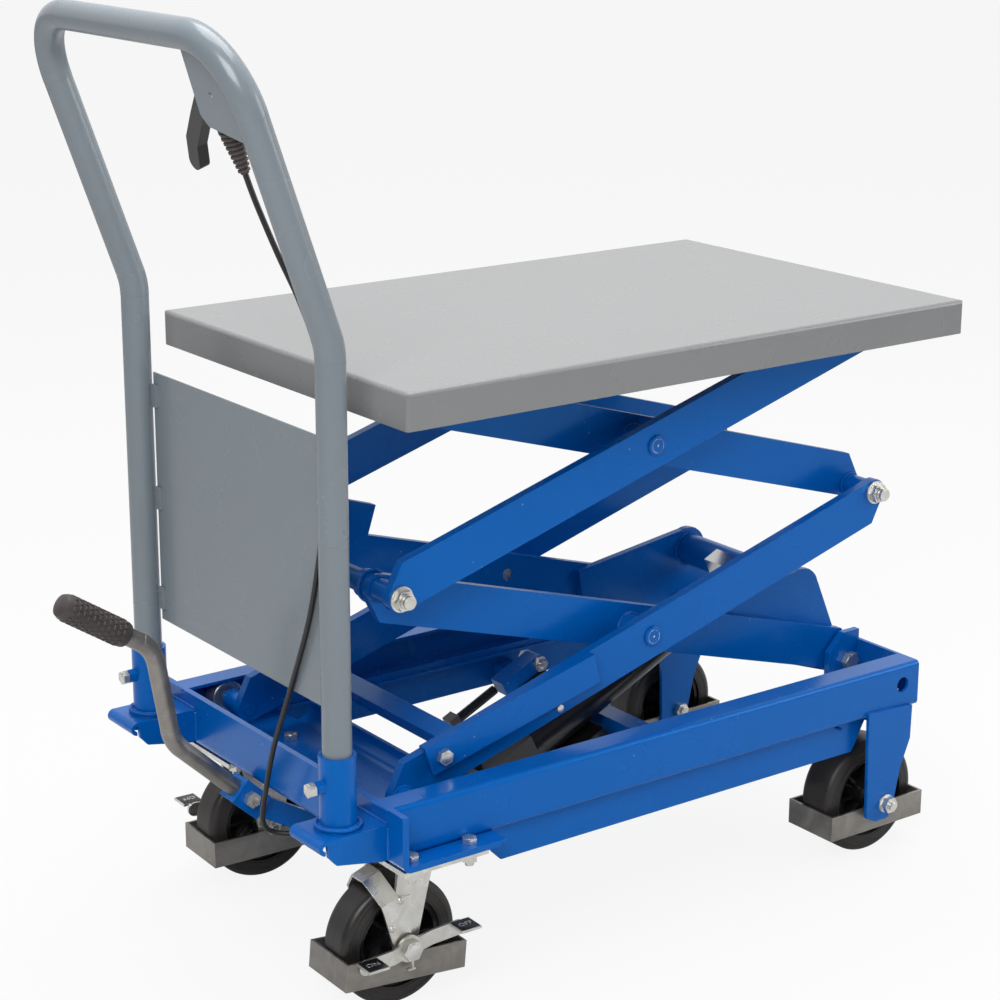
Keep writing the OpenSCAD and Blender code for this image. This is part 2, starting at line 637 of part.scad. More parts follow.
// An arm's outline from its left pin at the origin to its right pin: one end's pin lies near
// the lower edge and the other's near the upper edge, and the far corners are cut off
module arm_outline() {
    top = arm_offset + arm_w / 2;
    cut = top - sqrt(2) * arm_end_r;
    difference() {
        polygon(concat(arc([0, 0], arm_end_r, 135, 270), [[arm_l - cut, -top]], arc([arm_l, 0], arm_end_r, -45, 90),
            [[cut, top]]));
        for (x = [0, arm_l / 2, arm_l]) translate([x, 0]) circle(r = pin_r + fit, $fn = 40);
    }
}

// An arm that climbs to the right from (x, z)
module rising_arm(x, z) translate([x, z]) rotate(arm_angle) arm_outline();

// An arm that falls to the right from (x, z)
module falling_arm(x, z) translate([x, z]) rotate(-arm_angle) mirror([0, 1]) arm_outline();

mid_x = (pin_x0 + pin_x1) / 2;
low_centre_z = base_pin_z + arm_rise / 2;
high_centre_z = mid_pin_z + arm_rise / 2;

// A spacer boss on each side, from the inner arm's outer face towards the outer arm
module boss_pair(x, z, from, to, r) both_sides() difference() {
    bar_y(x, z, -to, -from, r);
    bar_y(x, z, -to - 1, -from + 1, pin_r + 0.3);
}

// Lower outer arms, from the base rollers up to the right-hand middle pins
module lower_outer_arms() color(blue) at_base() {
    plate_pair(outer_y, arm_t) rising_arm(pin_x0, base_pin_z);
    // Stub axles that reach out to the rollers
    both_sides() {
        bar_y(pin_x0, base_pin_z, -rail_y + rail_flange + 4, -outer_y + 1, 13.5);
        bar_y(pin_x0, base_pin_z, -rail_y + 8, -outer_y + arm_t + 2, pin_r);
    }
}

// A bar across the lower outer arms near their rollers
module lower_outer_crossbar() color(blue) at_base() translate([pin_x0, 0, base_pin_z])
    rotate([0, -arm_angle, 0]) translate([76, -outer_y + arm_t + 0.2, 14])
        cube([25, 2 * (outer_y - arm_t - 0.2), 16]);

// A nut, washer and bolt end outside an arm whose outer face is at y
module pin_end(x, z, y) {
    bar_y(x, z, -y - 2.8, -y - 0.3, 15);
    hex_y(x, z, -y - 11, -y - 2.8, 22);
    bar_y(x, z, -y - 14.5, -y - 2.8, 9.5);
}

// Fasteners of the lower outer arms: right-hand middle pins, the prop bar's bolt and its rest pin
module outer_arm_fasteners() color(zinc) at_base() {
    both_sides() {
        bar_y(pin_x1, mid_pin_z, -outer_y - 19, -inner_y + arm_t + 3, pin_r);
        pin_end(pin_x1, mid_pin_z, outer_y);
    }
    translate([pin_x0, 0, base_pin_z]) rotate([0, -arm_angle, 0]) {
        bar_y(prop_u, prop_v, -outer_y - 13, -outer_y - 0.1, 5);
        hex_y(prop_u, prop_v, -outer_y - 20, -outer_y - 12.6, 17);
        bar_y(prop_u + 166, prop_v - 34, -outer_y - 13, -outer_y - 0.1, 4.5);
    }
}

// Lower inner arms, from the left-hand middle pins down to the base pins
module lower_inner_arms() color(blue) at_base() {
    side_plate(-inner_y, arm_t) falling_arm(pin_x0, mid_pin_z);
    // The far arm has a stop tab on its upper edge
    side_plate(inner_y - arm_t, arm_t) {
        falling_arm(pin_x0, mid_pin_z);
        translate([pin_x0, mid_pin_z]) rotate(-arm_angle) translate([110, 8]) square([40, 52]);
    }
    boss_pair(mid_x, low_centre_z, inner_y - 0.5, inner_y + arm_gap - 0.4, 16);
    boss_pair(pin_x0, mid_pin_z, inner_y - 0.5, inner_y + arm_gap - 0.4, 13.5);
}

// Tube and collars across the lower inner arms, in line with the left-hand middle pins
module lower_inner_tube() color(blue) at_base() {
    inside = inner_y - arm_t - 0.2;
    bar_y(pin_x0, mid_pin_z, -inside, inside, 13);
    both_sides() bar_y(pin_x0, mid_pin_z, -inside, -inside + 14, 17);
}

// Pins of the lower inner arms: left-hand middle pins with nuts, and centre pins
module inner_arm_pins() color(zinc) at_base() both_sides() {
    bar_y(pin_x0, mid_pin_z, -outer_y - 19, -inner_y + arm_t, pin_r);
    pin_end(pin_x0, mid_pin_z, outer_y);
    bar_y(mid_x, low_centre_z, -outer_y - 3, -inner_y + arm_t - 3, pin_r);
    bar_y(mid_x, low_centre_z, -outer_y - 3, -outer_y - 0.4, 10);
}

// Yoke: two plates on the lower inner arms and the tube that the piston rod pushes
module yoke() color(blue) at_base() {
    inside = inner_y - arm_t;
    u = [yoke_x, yoke_z];
    plate_pair(inside - 0.2, 10) {
        polygon([[pin_x1 - 12, base_pin_z - 20], [pin_x1 - 4, base_pin_z + 34], u + [29, 6], u + [14, 26], u + [-12, 27],
            [mid_x + 110, low_centre_z - 14], [mid_x + 118, low_centre_z - 56]]);
        translate(u) circle(r = yoke_tube_r + 8, $fn = 60);
    }
    bar_y(yoke_x, yoke_z, -inside + 10, inside - 10, yoke_tube_r);
}

// Upper outer arms, from the left-hand middle pins up to the platform's fixed pins
module upper_outer_arms() color(blue) at_base() plate_pair(outer_y, arm_t) rising_arm(pin_x0, mid_pin_z);

module upper_outer_crossbar() color(blue) at_base() translate([pin_x1, 0, top_pin_z])
    rotate([0, -arm_angle, 0]) translate([-120, -outer_y + arm_t + 0.2, -32])
        cube([40, 2 * (outer_y - arm_t - 0.2), 20]);

// Pins of the upper outer arms: centre pins and the platform's fixed pins
module upper_arm_pins() color(zinc) at_base() both_sides() {
    bar_y(mid_x, high_centre_z, -outer_y - 3, -inner_y + arm_t - 3, pin_r);
    bar_y(mid_x, high_centre_z, -outer_y - 3, -outer_y - 0.4, 10);
    bar_y(pin_x1, top_pin_z, -outer_y - 22, -outer_y + arm_t + 1, pin_r);
}

// Upper inner arms, from the platform's rollers down to the right-hand middle pins
module upper_inner_arms() color(blue) at_base() {
    plate_pair(inner_y, arm_t) falling_arm(pin_x0, top_pin_z);
    boss_pair(mid_x, high_centre_z, inner_y - 0.5, inner_y + arm_gap - 0.4, 16);
    boss_pair(pin_x1, mid_pin_z, inner_y - 0.5, inner_y + arm_gap - 0.4, 13.5);
}

module upper_inner_crossbar() color(blue) at_base() translate([pin_x0, 0, top_pin_z])
    rotate([0, arm_angle, 0]) translate([80, -inner_y + arm_t + 0.2, -32])
        cube([40, 2 * (inner_y - arm_t - 0.2), 20]);

// A roller with a rounded rim and a bore
module roller(r, w, bore) rotate([90, 0, 0]) rotate_extrude($fn = 80) difference() {
    union() {
        translate([0, -w / 2]) square([r - 2, w]);
        translate([0, -w / 2 + 2]) square([r, w - 4]);
        for (z = [-w / 2 + 2, w / 2 - 2]) translate([r - 2, z]) circle(r = 2, $fn = 30);
    }
    translate([-1, -w]) square([bore + 1, 2 * w]);
}

module base_roller(side) color(zinc) at_base()
    translate([pin_x0, side * (rail_y - rail_flange / 2 - 3), base_pin_z]) roller(roller_r, 22, pin_r + fit);
module base_roller_near() base_roller(-1);
module base_roller_far() base_roller(1);

// Rollers below the platform, with the shaft they turn with
module top_rollers() color(zinc) at_base() {
    both_sides() translate([pin_x0, -inner_y - 12.4, top_pin_z]) roller(top_roller_r, 16, pin_r - 1);
    bar_y(pin_x0, top_pin_z, -inner_y - 21.5, inner_y + 21.5, pin_r);
}

// Platform: a deck with folded skirts and rounded corners
module platform() color(grey) at_base() translate([platform_x, 0, platform_top]) {
    edge = 5;
    difference() {
        translate([0, 0, -skirt_h]) linear_extrude(skirt_h) rounded_rect(platform_l, platform_w, edge);
        translate([0, 0, -skirt_h - 1]) linear_extrude(skirt_h + 1 - deck_t)
            rounded_rect(platform_l - 2 * deck_t, platform_w - 2 * deck_t, edge - deck_t);
        both_sides() platform_edge_cut(platform_l, platform_w, edge);
        for (turn = [0, 180]) rotate([0, 0, turn + 90]) platform_edge_cut(platform_w, platform_l, edge);
    }
}

module rounded_rect(l, w, r) {
    square([l - 2 * r, w], center = true);
    square([l, w - 2 * r], center = true);
    for (x = [-1, 1], y = [-1, 1]) translate([x * (l / 2 - r), y * (w / 2 - r)]) circle(r = r, $fn = 40);
}

// What is cut from one top edge to round the fold of the sheet
module platform_edge_cut(l, w, r) translate([-l / 2 - 1, -w / 2, 0]) rotate([90, 0, 90]) linear_extrude(l + 2)
    difference() {
        translate([-1, -r]) square(r + 1);
        translate([r, -r]) circle(r = r, $fn = 40);
    }

// Roller tracks and pivot lugs welded under the deck
module platform_tracks() color(grey) at_base() both_sides() {
    y0 = -inner_y - 25;
    low = top_pin_z - top_roller_r - 0.3;
    side_plate(y0, 3) polygon([[pin_x0 - 36, low - 3], [mid_x - 40, low - 3], [mid_x - 40, deck_under - 0.2],
        [pin_x0 - 36, deck_under - 0.2]]);
    translate([pin_x0 - 36, y0, low - 3]) cube([mid_x - 40 - pin_x0 + 36, 22, 3]);
    side_plate(-outer_y - 20, 14) difference() {
        polygon([[pin_x1 - 26, deck_under - 0.2], [pin_x1 - 20, top_pin_z - 16], [pin_x1 + 20, top_pin_z - 16],
            [pin_x1 + 26, deck_under - 0.2]]);
        translate([pin_x1, top_pin_z]) circle(r = pin_r + fit, $fn = 40);
    }
}

// Places things along the cylinder: x runs from the pump up to the yoke tube at x = 0
module along_ram() translate([yoke_x, 0, yoke_z]) rotate([0, -ram_angle, 0]) children();

// A round bar along the cylinder's axis
module ram_bar(s0, s1, r) translate([s0, 0, 0]) rotate([0, 90, 0]) cylinder(h = s1 - s0, r = r, $fn = 60);

module cylinder_barrel() color(black) at_base() along_ram() difference() {
    union() {
        ram_bar(barrel_foot_s, mouth_s - 16, barrel_r - 2);
        ram_bar(mouth_s - 16, mouth_s, barrel_r);
        ram_bar(barrel_foot_s, barrel_foot_s + 14, barrel_r);
    }
    ram_bar(barrel_foot_s + 30, mouth_s + 1, rod_r + fit);
}

// Piston rod with the fork that pushes the yoke tube
module cylinder_rod() color(zinc) at_base() along_ram() {
    pad = -yoke_tube_r - saddle_gap;
    ram_bar(mouth_s - 180, pad - 11, rod_r);
    translate([pad - 12, -24, -30]) cube([12, 48, 58]);
    for (z = [-34, 25]) translate([pad - 12, -24, z]) cube([24, 48, 6]);
}

// Pump body with its reservoir, below the barrel's foot
module pump_body() color(black) at_base() along_ram() {
    difference() {
        union() {
            translate([pump_foot_s, -36, -62]) cube([79.8, 72, 96]);
            translate([barrel_foot_s - 1, -36, -74]) cube([100, 72, 43]);
            translate([pump_foot_s, -9, 30]) cube([14, 18, 79]);
            translate([barrel_foot_s + 22, -16, 12]) cube([44, 32, barrel_r + 44.3]);
        }
        ram_bar(barrel_foot_s, mouth_s, barrel_r - 1.8);
        translate([mount_s, 60, mount_v]) rotate([90, 0, 0]) cylinder(h = 120, r = 5, $fn = 30);
    }
    // Return rod beside the link
    ram_bar_at(pump_foot_s + 10, barrel_foot_s - 3, 99, 6);
    // Boss that carries the foot lever
    translate([0, 0, 0]) rotate([0, ram_angle, 0]) translate([-yoke_x, 0, -yoke_z])
        bar_y(lever_pivot[0], lever_pivot[1], 34, lever_y + 9, 9);
}

mount_s = barrel_foot_s + 78;
mount_v = -54;

// The mount's pin in X and Z
mount_x = yoke_x + mount_s * cos(ram_angle) - mount_v * sin(ram_angle);
mount_z = yoke_z + mount_s * sin(ram_angle) + mount_v * cos(ram_angle);

// A round bar along the cylinder, v above its axis
module ram_bar_at(s0, s1, v, r) translate([0, 0, v]) ram_bar(s0, s1, r);

// Cross channel that carries the pump between the side rails
module pump_mount() color(blue) at_base() {
    beam_x = mount_x + 28;
    reach = rail_y - lower_side_set - rail_t - 0.2;
    translate([beam_x, -reach, mount_z + 4]) cube([30, 2 * reach, 30]);
    both_sides() side_plate(-44.3, 8) difference() {
        union() {
            translate([mount_x, mount_z]) circle(r = 15, $fn = 40);
            polygon([[mount_x - 4, mount_z + 14.4], [beam_x + 20, mount_z + 20], [beam_x + 20, mount_z + 4],
                [mount_x + 5, mount_z - 14]]);
        }
        translate([mount_x, mount_z]) circle(r = 5, $fn = 30);
    }
}

// Link on top of the pump, with its bolt
module pump_link() color(blue) at_base() along_ram() {
    low = barrel_r + 56.5;
    side_plate(-12, 24) difference() {
        union() {
            translate([barrel_foot_s + 4, low]) square([58, 20]);
            translate([barrel_foot_s + 62, low + 10]) circle(r = 10, $fn = 40);
        }
        translate([link_s, link_v]) circle(r = 5, $fn = 30);
    }
}

link_s = barrel_foot_s + 62;
link_v = barrel_r + 66.5;
link_x = yoke_x + link_s * cos(ram_angle) - link_v * sin(ram_angle);
link_z = yoke_z + link_s * sin(ram_angle) + link_v * cos(ram_angle);

module foot_lever() color(blue) at_base() {
    side_plate(lever_y - 5.5, 11) difference() {
        strip([lever_pivot, lever_pivot - [110, 30], lever_knee, lever_mouth - 44 * mouth_dir], 26);
        translate(lever_pivot) circle(r = 9 + fit, $fn = 40);
        translate(lever_mouth) rotate(mouth_turn) translate([-43.9, -40]) square([60, 80]);
    }
    // Square socket for the lever's tube
    translate(in_lever(lever_mouth)) rotate([0, -mouth_turn, 0]) difference() {
        translate([-44, -16, -16]) cube([44, 32, 32]);
        translate([-30, 0, 0]) rotate([0, 90, 0]) cylinder(h = 31, r = lever_tube_r + 0.1, $fn = 40);
        translate([-18, 0, 0]) rotate([90, 0, 0]) cylinder(h = 20, r = 5.1, $fn = 30);
    }
}

// Set bolt that clamps the tube in the lever's socket
module foot_lever_bolt() color(zinc) at_base() translate(in_lever(lever_mouth)) rotate([0, -mouth_turn, 0])
    translate([-18, -16.2, 0]) {
        rotate([90, 0, 0]) cylinder(h = 9, r = 9.8, $fn = 6);
        rotate([-90, 0, 0]) cylinder(h = 5, r = 5, $fn = 30);
    }

mouth_dir = unit(tube_bend_1 - lever_mouth);
mouth_turn = atan2(mouth_dir[1], mouth_dir[0]);
function in_lever(p) = [p[0], lever_y, p[1]];

module foot_lever_tube() color([0.6, 0.58, 0.54]) at_base() bent_rod([in_lever(lever_mouth - 29 * mouth_dir),
    in_lever(tube_bend_1), in_lever(tube_bend_2), in_lever(grip_end - 6 * grip_dir)], 46, lever_tube_r);

module foot_lever_grip() color([0.2, 0.18, 0.18]) at_base() translate(in_lever(grip_end))
    rotate([0, atan2(grip_dir[0], grip_dir[1]), 0]) rotate_extrude($fn = 60) difference() {
        union() {
            translate([0, -grip_l]) square([grip_r, grip_l - grip_round]);
            translate([0, -grip_l]) square([grip_r - grip_round, grip_l]);
            translate([grip_r - grip_round, -grip_round]) circle(r = grip_round, $fn = 40);
        }
        translate([0, -grip_l - 1]) square([lever_tube_r + 0.1, grip_l - 4]);
    }

prop_u = 59;
prop_v = 27;

// Maintenance prop: an angle bar that lies along the near outer arm
module prop_bar() color(blue) at_base() translate([pin_x0, 0, base_pin_z]) rotate([0, -arm_angle, 0])
    translate([prop_u, 0, prop_v]) rotate([0, 4, 0]) {
        side_plate(-outer_y - 12.2, 3.5) difference() {
            polygon([[-18, -17.5], [-21, 20.5], [231, 20.5], [231, -17.5]]);
            circle(r = 5 + fit, $fn = 30);
        }
        translate([-21, -outer_y - 12.2, 17]) cube([252, 11.7, 3.5]);
    }

// Base pins that carry the lower inner arms, and the pump's bolts
module pivot_bolts() color(zinc) at_base() {
    both_sides() {
        bar_y(pin_x1, base_pin_z, -inner_y - 13, -inner_y + arm_t, pin_r);
        hex_y(pin_x1, base_pin_z, -inner_y - 21, -inner_y - 12.3, 22);
    }
    // The pump's pin and the bolt in the link above it
    bar_y(mount_x, mount_z, -54, 54, 5 - fit);
    both_sides() hex_y(mount_x, mount_z, -51, -44.5, 17);
    bar_y(link_x, link_z, -22, 20, 5 - fit);
    both_sides() hex_y(link_x, link_z, -19, -12.2, 17);
}

side_rails();
handle_end_plate();
wheel_end_plate();
handle_ears();
handle_sockets();
socket_bolts();
fixed_forks();
fixed_axles();
fixed_toe_guards();
caster_top_plates();
caster_bolts();
pivot_bolts();
handle_tube();
handle_panel();
cable_boot();
release_cable();
release_trigger();
fixed_tyre_near();
fixed_hub_near();
fixed_tyre_far();
fixed_hub_far();
swivel_fork_near();
swivel_axle_near();
swivel_toe_guard_near();
brake_pedal_near();
swivel_tyre_near();
swivel_hub_near();
swivel_fork_far();
swivel_axle_far();
swivel_toe_guard_far();
brake_pedal_far();
swivel_tyre_far();
swivel_hub_far();
lower_outer_arms();
lower_outer_crossbar();
outer_arm_fasteners();
lower_inner_arms();
lower_inner_tube();
inner_arm_pins();
yoke();
upper_outer_arms();
upper_outer_crossbar();
upper_arm_pins();
upper_inner_arms();
upper_inner_crossbar();
base_roller_near();
base_roller_far();
top_rollers();
platform();
platform_tracks();
pump_body();
pump_mount();
pump_link();
cylinder_barrel();
cylinder_rod();
foot_lever();
foot_lever_tube();
foot_lever_bolt();
foot_lever_grip();
prop_bar();
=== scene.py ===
# %% [markdown]
# # Finishing a scissor lift table
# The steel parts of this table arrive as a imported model: every rail, arm, pin and wheel is already
# in its place, in metres, with z up and the floor at zero. This lesson gives those parts their paint,
# plating and rubber, and adds what a solid model leaves out: weld beads, threads, the ribs of the
# lever's grip, the marks on the brake pedals and the release cable. Each step first says what the
# real thing is like, and then builds it with Blender's own operators.

# %% Load the model
import json
import math

import bmesh
import bpy
from mathutils import Matrix, Vector


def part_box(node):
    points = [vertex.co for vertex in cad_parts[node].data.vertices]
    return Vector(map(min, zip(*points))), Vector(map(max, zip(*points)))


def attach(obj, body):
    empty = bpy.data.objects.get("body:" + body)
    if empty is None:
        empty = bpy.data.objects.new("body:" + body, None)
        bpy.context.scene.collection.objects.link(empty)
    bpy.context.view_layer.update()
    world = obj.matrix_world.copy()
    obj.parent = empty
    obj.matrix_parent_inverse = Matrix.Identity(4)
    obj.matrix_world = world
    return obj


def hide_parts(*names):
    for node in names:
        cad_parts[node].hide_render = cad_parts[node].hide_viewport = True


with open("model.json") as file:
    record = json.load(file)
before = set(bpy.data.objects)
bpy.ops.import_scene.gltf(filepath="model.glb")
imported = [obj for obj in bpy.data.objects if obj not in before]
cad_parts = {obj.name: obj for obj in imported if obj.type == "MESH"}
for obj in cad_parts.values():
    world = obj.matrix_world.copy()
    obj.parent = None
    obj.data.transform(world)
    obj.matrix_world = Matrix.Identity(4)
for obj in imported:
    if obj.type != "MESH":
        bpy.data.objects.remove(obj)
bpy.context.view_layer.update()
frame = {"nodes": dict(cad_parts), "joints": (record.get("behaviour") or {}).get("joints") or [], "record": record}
record = frame["record"]
joints = {joint["name"]: joint for joint in frame["joints"]}

# %% [markdown]
# ## Where things are
# Nearly everything on this table is placed from the middle of its base frame, in millimetres. Two
# small helpers turn such a place into the model's metres: one for points and one for whole frames of
# reference, such as the leaning top of the handle or the slanted cylinder. Pins and axles come from
# the joints themselves, so a bead or a thread always sits on the part that it belongs to.

# %% Places on the table
MM = 0.001
rail_low, rail_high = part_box("side_rails")
base_x = (rail_low.x + rail_high.x) / 2


def at(x, y, z):
    """A point counted from the base's middle, in millimetres, as a point of the model."""
    return Vector((base_x + x * MM, y * MM, z * MM))


def pin(name):
    """The place of a joint."""
    return Vector(joints[name]["pos_m"])


def tilted(origin, angle):
    """A frame of reference at origin, in millimetres, whose x axis climbs by angle."""
    return Matrix.Translation(origin) @ Matrix.Rotation(-angle, 4, "Y") @ Matrix.Scale(MM, 4)


POST_X = -458
EAR_TOP = 241
POST_Y = 214
KINK_Z = 777
LEAN = math.atan2(113, 321)
LEAN_LENGTH = math.hypot(113, 321)
RAM_ANGLE = math.radians(25.35)
YOKE = (317.27, 334.78)
WHEEL_R = 76.2
SWIVEL_X = -352
SWIVEL_Y = 191
TRAIL = 25
SIDES = (-1, 1)
FRONT = Matrix.Rotation(math.pi / 2, 4, "X")

handle_top = tilted(at(POST_X, 0, KINK_Z), LEAN)
along_ram = tilted(at(YOKE[0], 0, YOKE[1]), RAM_ANGLE)
print("base middle at x", round(base_x, 4), "lift pin at", [round(v, 4) for v in pin("lift")])


def swivel(side):
    """The frame of a swivel caster, at its axle and in millimetres, as the caster stands at rest."""
    turn = math.radians(-1 if side < 0 else 178)
    place = Matrix.Translation(at(SWIVEL_X, side * SWIVEL_Y, 0)) @ Matrix.Rotation(turn, 4, "Z")
    return place @ Matrix.Scale(MM, 4) @ Matrix.Translation((-TRAIL, 0, WHEEL_R))


# %% [markdown]
# ## The camera
# The table is seen from in front of its handle end, a little above the deck, with a long lens. The
# small shift keeps the whole handle and the far wheels in view without turning the camera, so that
# upright posts stay upright.

# %% Camera
CAMERA_PLACE = Vector((-1.6504, -2.2861, 1.3293))
CAMERA_TURN = math.radians(-35.79)
CAMERA_HEIGHT = math.radians(15.94)
back = Vector((
    math.sin(CAMERA_TURN) * math.cos(CAMERA_HEIGHT),
    -math.cos(CAMERA_TURN) * math.cos(CAMERA_HEIGHT),
    math.sin(CAMERA_HEIGHT),
))
lens = bpy.data.cameras.new("studio_camera")
lens.lens = 87.0
lens.sensor_width = 36
lens.shift_x = 0.0222
lens.shift_y = -0.017
camera = bpy.data.objects.new("studio_camera", lens)
camera.location = CAMERA_PLACE
camera.rotation_mode = "QUATERNION"
camera.rotation_quaternion = (-back).to_track_quat("-Z", "Y")
bpy.context.collection.objects.link(camera)
bpy.context.scene.camera = camera
print("camera looks along", [round(v, 3) for v in -back])

# %% [markdown]
# ## Shared effects
# Paint, plating and rubber have things in common: sheet edges are never knife sharp, paint has a
# fine orange peel, dust settles on what faces up, and handling leaves thin scratches. Each effect is
# one node group with named inputs, so that every material can use it with its own values. A group
# only gives out masks, values and normals, and the shaders stay in the materials.

# %% A helper for node groups


class Sketch:
    """Adds and links nodes in a tree. A socket or a number may stand for any input."""

    def __init__(self, tree):
        self.tree = tree

    def add(self, kind, settings=None, **inputs):
        node = self.tree.nodes.new(kind)
        for label, value in (settings or {}).items():
            setattr(node, label, value)
        for label, value in inputs.items():
            self.feed(node, label.replace("_", " "), value)
        return node

    def feed(self, node, label, value):
        socket = node.inputs[int(label) if label.isdigit() else label]
        if isinstance(value, bpy.types.NodeSocket):
            self.tree.links.new(value, socket)
        else:
            socket.default_value = value

    def math(self, operation, a, b=0.0, clamp=False):
        node = self.tree.nodes.new("ShaderNodeMath")
        node.operation = operation
        node.use_clamp = clamp
        self.feed(node, "0", a)
        self.feed(node, "1", b)
        return node.outputs[0]

    def span(self, value, low, high, to_low=0.0, to_high=1.0):
        """Maps low to high onto to_low to to_high, smoothly and clamped."""
        node = self.tree.nodes.new("ShaderNodeMapRange")
        node.interpolation_type = "SMOOTHSTEP"
        for label, number in zip(("Value", "From Min", "From Max", "To Min", "To Max"),
                                 (value, low, high, to_low, to_high)):
            self.feed(node, label, number)
        return node.outputs["Result"]

    def blend(self, mask, a, b):
        """Colour a where the mask is 0 and colour b where it is 1."""
        node = self.tree.nodes.new("ShaderNodeMix")
        node.data_type = "RGBA"
        for index, value in ((0, mask), (6, a), (7, b)):
            if isinstance(value, bpy.types.NodeSocket):
                self.tree.links.new(value, node.inputs[index])
            else:
                node.inputs[index].default_value = value
        return node.outputs[2]

    def noise(self, scale, detail=2.0, stretch=None, distortion=0.0):
        """Noise on the piece's own metres; stretch squeezes it along the three axes."""
        place = self.add("ShaderNodeTexCoord").outputs["Object"]
        if stretch:
            mapping = self.add("ShaderNodeMapping", Vector=place)
            mapping.inputs["Scale"].default_value = stretch
            place = mapping.outputs["Vector"]
        node = self.add("ShaderNodeTexNoise", Vector=place, Scale=scale, Detail=detail,
                        Distortion=distortion)
        return node.outputs["Fac"]

    def result(self, **outputs):
        end = self.tree.nodes.new("NodeGroupOutput")
        for label, socket in outputs.items():
            self.tree.links.new(socket, end.inputs[label.replace("_", " ")])


def make_group(name, inputs, outputs):
    """A node group with float inputs, and outputs that are floats or vectors."""
    group = bpy.data.node_groups.new(name, "ShaderNodeTree")
    for label, value in inputs.items():
        socket = group.interface.new_socket(name=label, in_out="INPUT", socket_type="NodeSocketFloat")
        socket.default_value = value
    for label, kind in outputs.items():
        group.interface.new_socket(name=label, in_out="OUTPUT", socket_type=kind)
    sketch = Sketch(group)
    return group, sketch, sketch.add("NodeGroupInput").outputs


FLOAT = "NodeSocketFloat"
VECTOR = "NodeSocketVector"

# %% [markdown]
# ### Rounded edges
# Folded and sawn steel has edges with a radius of about half a millimetre, and that thin line of
# light along an edge is what makes metal look real. Cutting a bevel into every part would cost a
# great many faces. The Bevel node instead bends the shading normal near an edge. Where the bent
# normal leaves the true one, there is an edge, so the same node also gives the mask for worn paint,
# and the mask for a painted highlight: a lighter colour laid along each edge as its line of light.

# %% Group: rounded edges
edge_group, g, given = make_group("Rounded edges", {"Radius": 0.0008}, {"Normal": VECTOR, "Edge": FLOAT})
bevel = g.add("ShaderNodeBevel", {"samples": 4}, Radius=given["Radius"])
true_normal = g.add("ShaderNodeNewGeometry").outputs["Normal"]
agree = g.tree.nodes.new("ShaderNodeVectorMath")
agree.operation = "DOT_PRODUCT"
g.tree.links.new(bevel.outputs[0], agree.inputs[0])
g.tree.links.new(true_normal, agree.inputs[1])
g.result(Normal=bevel.outputs[0], Edge=g.span(agree.outputs["Value"], 0.995, 0.9))

# %% [markdown]
# ### Orange peel
# Sprayed paint dries with a shallow, soft waviness a few millimetres across, and its gloss varies in
# larger patches. The group gives a height for the bump and a value for the roughness.

# %% Group: paint skin
skin_group, g, given = make_group("Paint skin", {"Peel size": 260.0},
                                  {"Height": FLOAT, "Gloss patches": FLOAT})
peel = g.noise(given["Peel size"], 1.0)
grit = g.noise(900.0, 2.0)
height = g.math("ADD", g.math("MULTIPLY", peel, 0.8), g.math("MULTIPLY", grit, 0.2))
g.result(Height=height, Gloss_patches=g.span(g.noise(9.0, 4.0, distortion=0.6), 0.3, 0.7))

# %% [markdown]
# ### Chips, dust, glints and scratches
# Paint chips first along edges, but only here and there, so the edge mask is broken up with noise.
# Fine, pale dust lies on faces that look up, and the same group scatters rare pale spots: on the blue
# enamel these are painted glints, and on the worn tread they are grains of dust. Scratches are long
# and thin: a noise squeezed hard along one axis leaves only a few narrow streaks above its threshold.

# %% Group: chips
chip_group, g, given = make_group("Chips", {"Edge": 0.0, "Amount": 0.5, "Size": 55.0}, {"Mask": FLOAT})
broken = g.span(g.noise(given["Size"], 5.0), 0.5, 0.62)
thick = g.math("MULTIPLY", given["Edge"], broken)
g.result(Mask=g.math("MULTIPLY", thick, given["Amount"], clamp=True))

# %% Group: dust and painted glints
dust_and_glint_group, g, given = make_group("Dust and glints", {"Amount": 0.3, "Specks": 0.0}, {"Mask": FLOAT})
slope = g.tree.nodes.new("ShaderNodeSeparateXYZ")
g.tree.links.new(g.add("ShaderNodeNewGeometry").outputs["Normal"], slope.inputs[0])
up = g.span(slope.outputs["Z"], 0.2, 1.0)
clouds = g.span(g.noise(14.0, 6.0, distortion=0.4), 0.35, 0.8)
speckle = g.span(g.noise(420.0, 2.0), 0.45, 0.75)
mottle = g.math("ADD", g.math("MULTIPLY", clouds, 0.75), g.math("MULTIPLY", speckle, 0.25))
settled = g.math("MULTIPLY", up, mottle)
# Rare pale spots: painted glints on the blue enamel, grains of dust on the worn tread.
cells = g.add("ShaderNodeTexVoronoi", Vector=g.add("ShaderNodeTexCoord").outputs["Object"], Scale=52.0)
dot = g.span(cells.outputs["Distance"], 0.07, 0.045)
rare = g.span(g.noise(11.0, 2.0), 0.55, 0.62)
dust_and_glint_specks = g.math("MULTIPLY", g.math("MULTIPLY", dot, rare), given["Specks"])
film = g.math("MULTIPLY", settled, given["Amount"])
g.result(Mask=g.math("MAXIMUM", film, dust_and_glint_specks, clamp=True))

# %% Group: scratches
scratch_group, g, given = make_group("Scratches", {"Amount": 0.4}, {"Mask": FLOAT})
lines = None
for stretch in ((9.0, 240.0, 60.0), (150.0, 12.0, 50.0)):
    streak = g.span(g.noise(1.6, 3.0, stretch), 0.66, 0.7)
    lines = streak if lines is None else g.math("MAXIMUM", lines, streak)
patches = g.span(g.noise(7.0, 3.0), 0.48, 0.62)
g.result(Mask=g.math("MULTIPLY", g.math("MULTIPLY", lines, patches), given["Amount"], clamp=True))

# %% [markdown]
# ### Plated and drawn steel
# Zinc plating is cloudy: patches of slightly different grey run into each other over a fine grain.
# Drawn or rolled steel has fine parallel lines along the way it was worked. Both come out as a tone
# from dark to light, and a height.

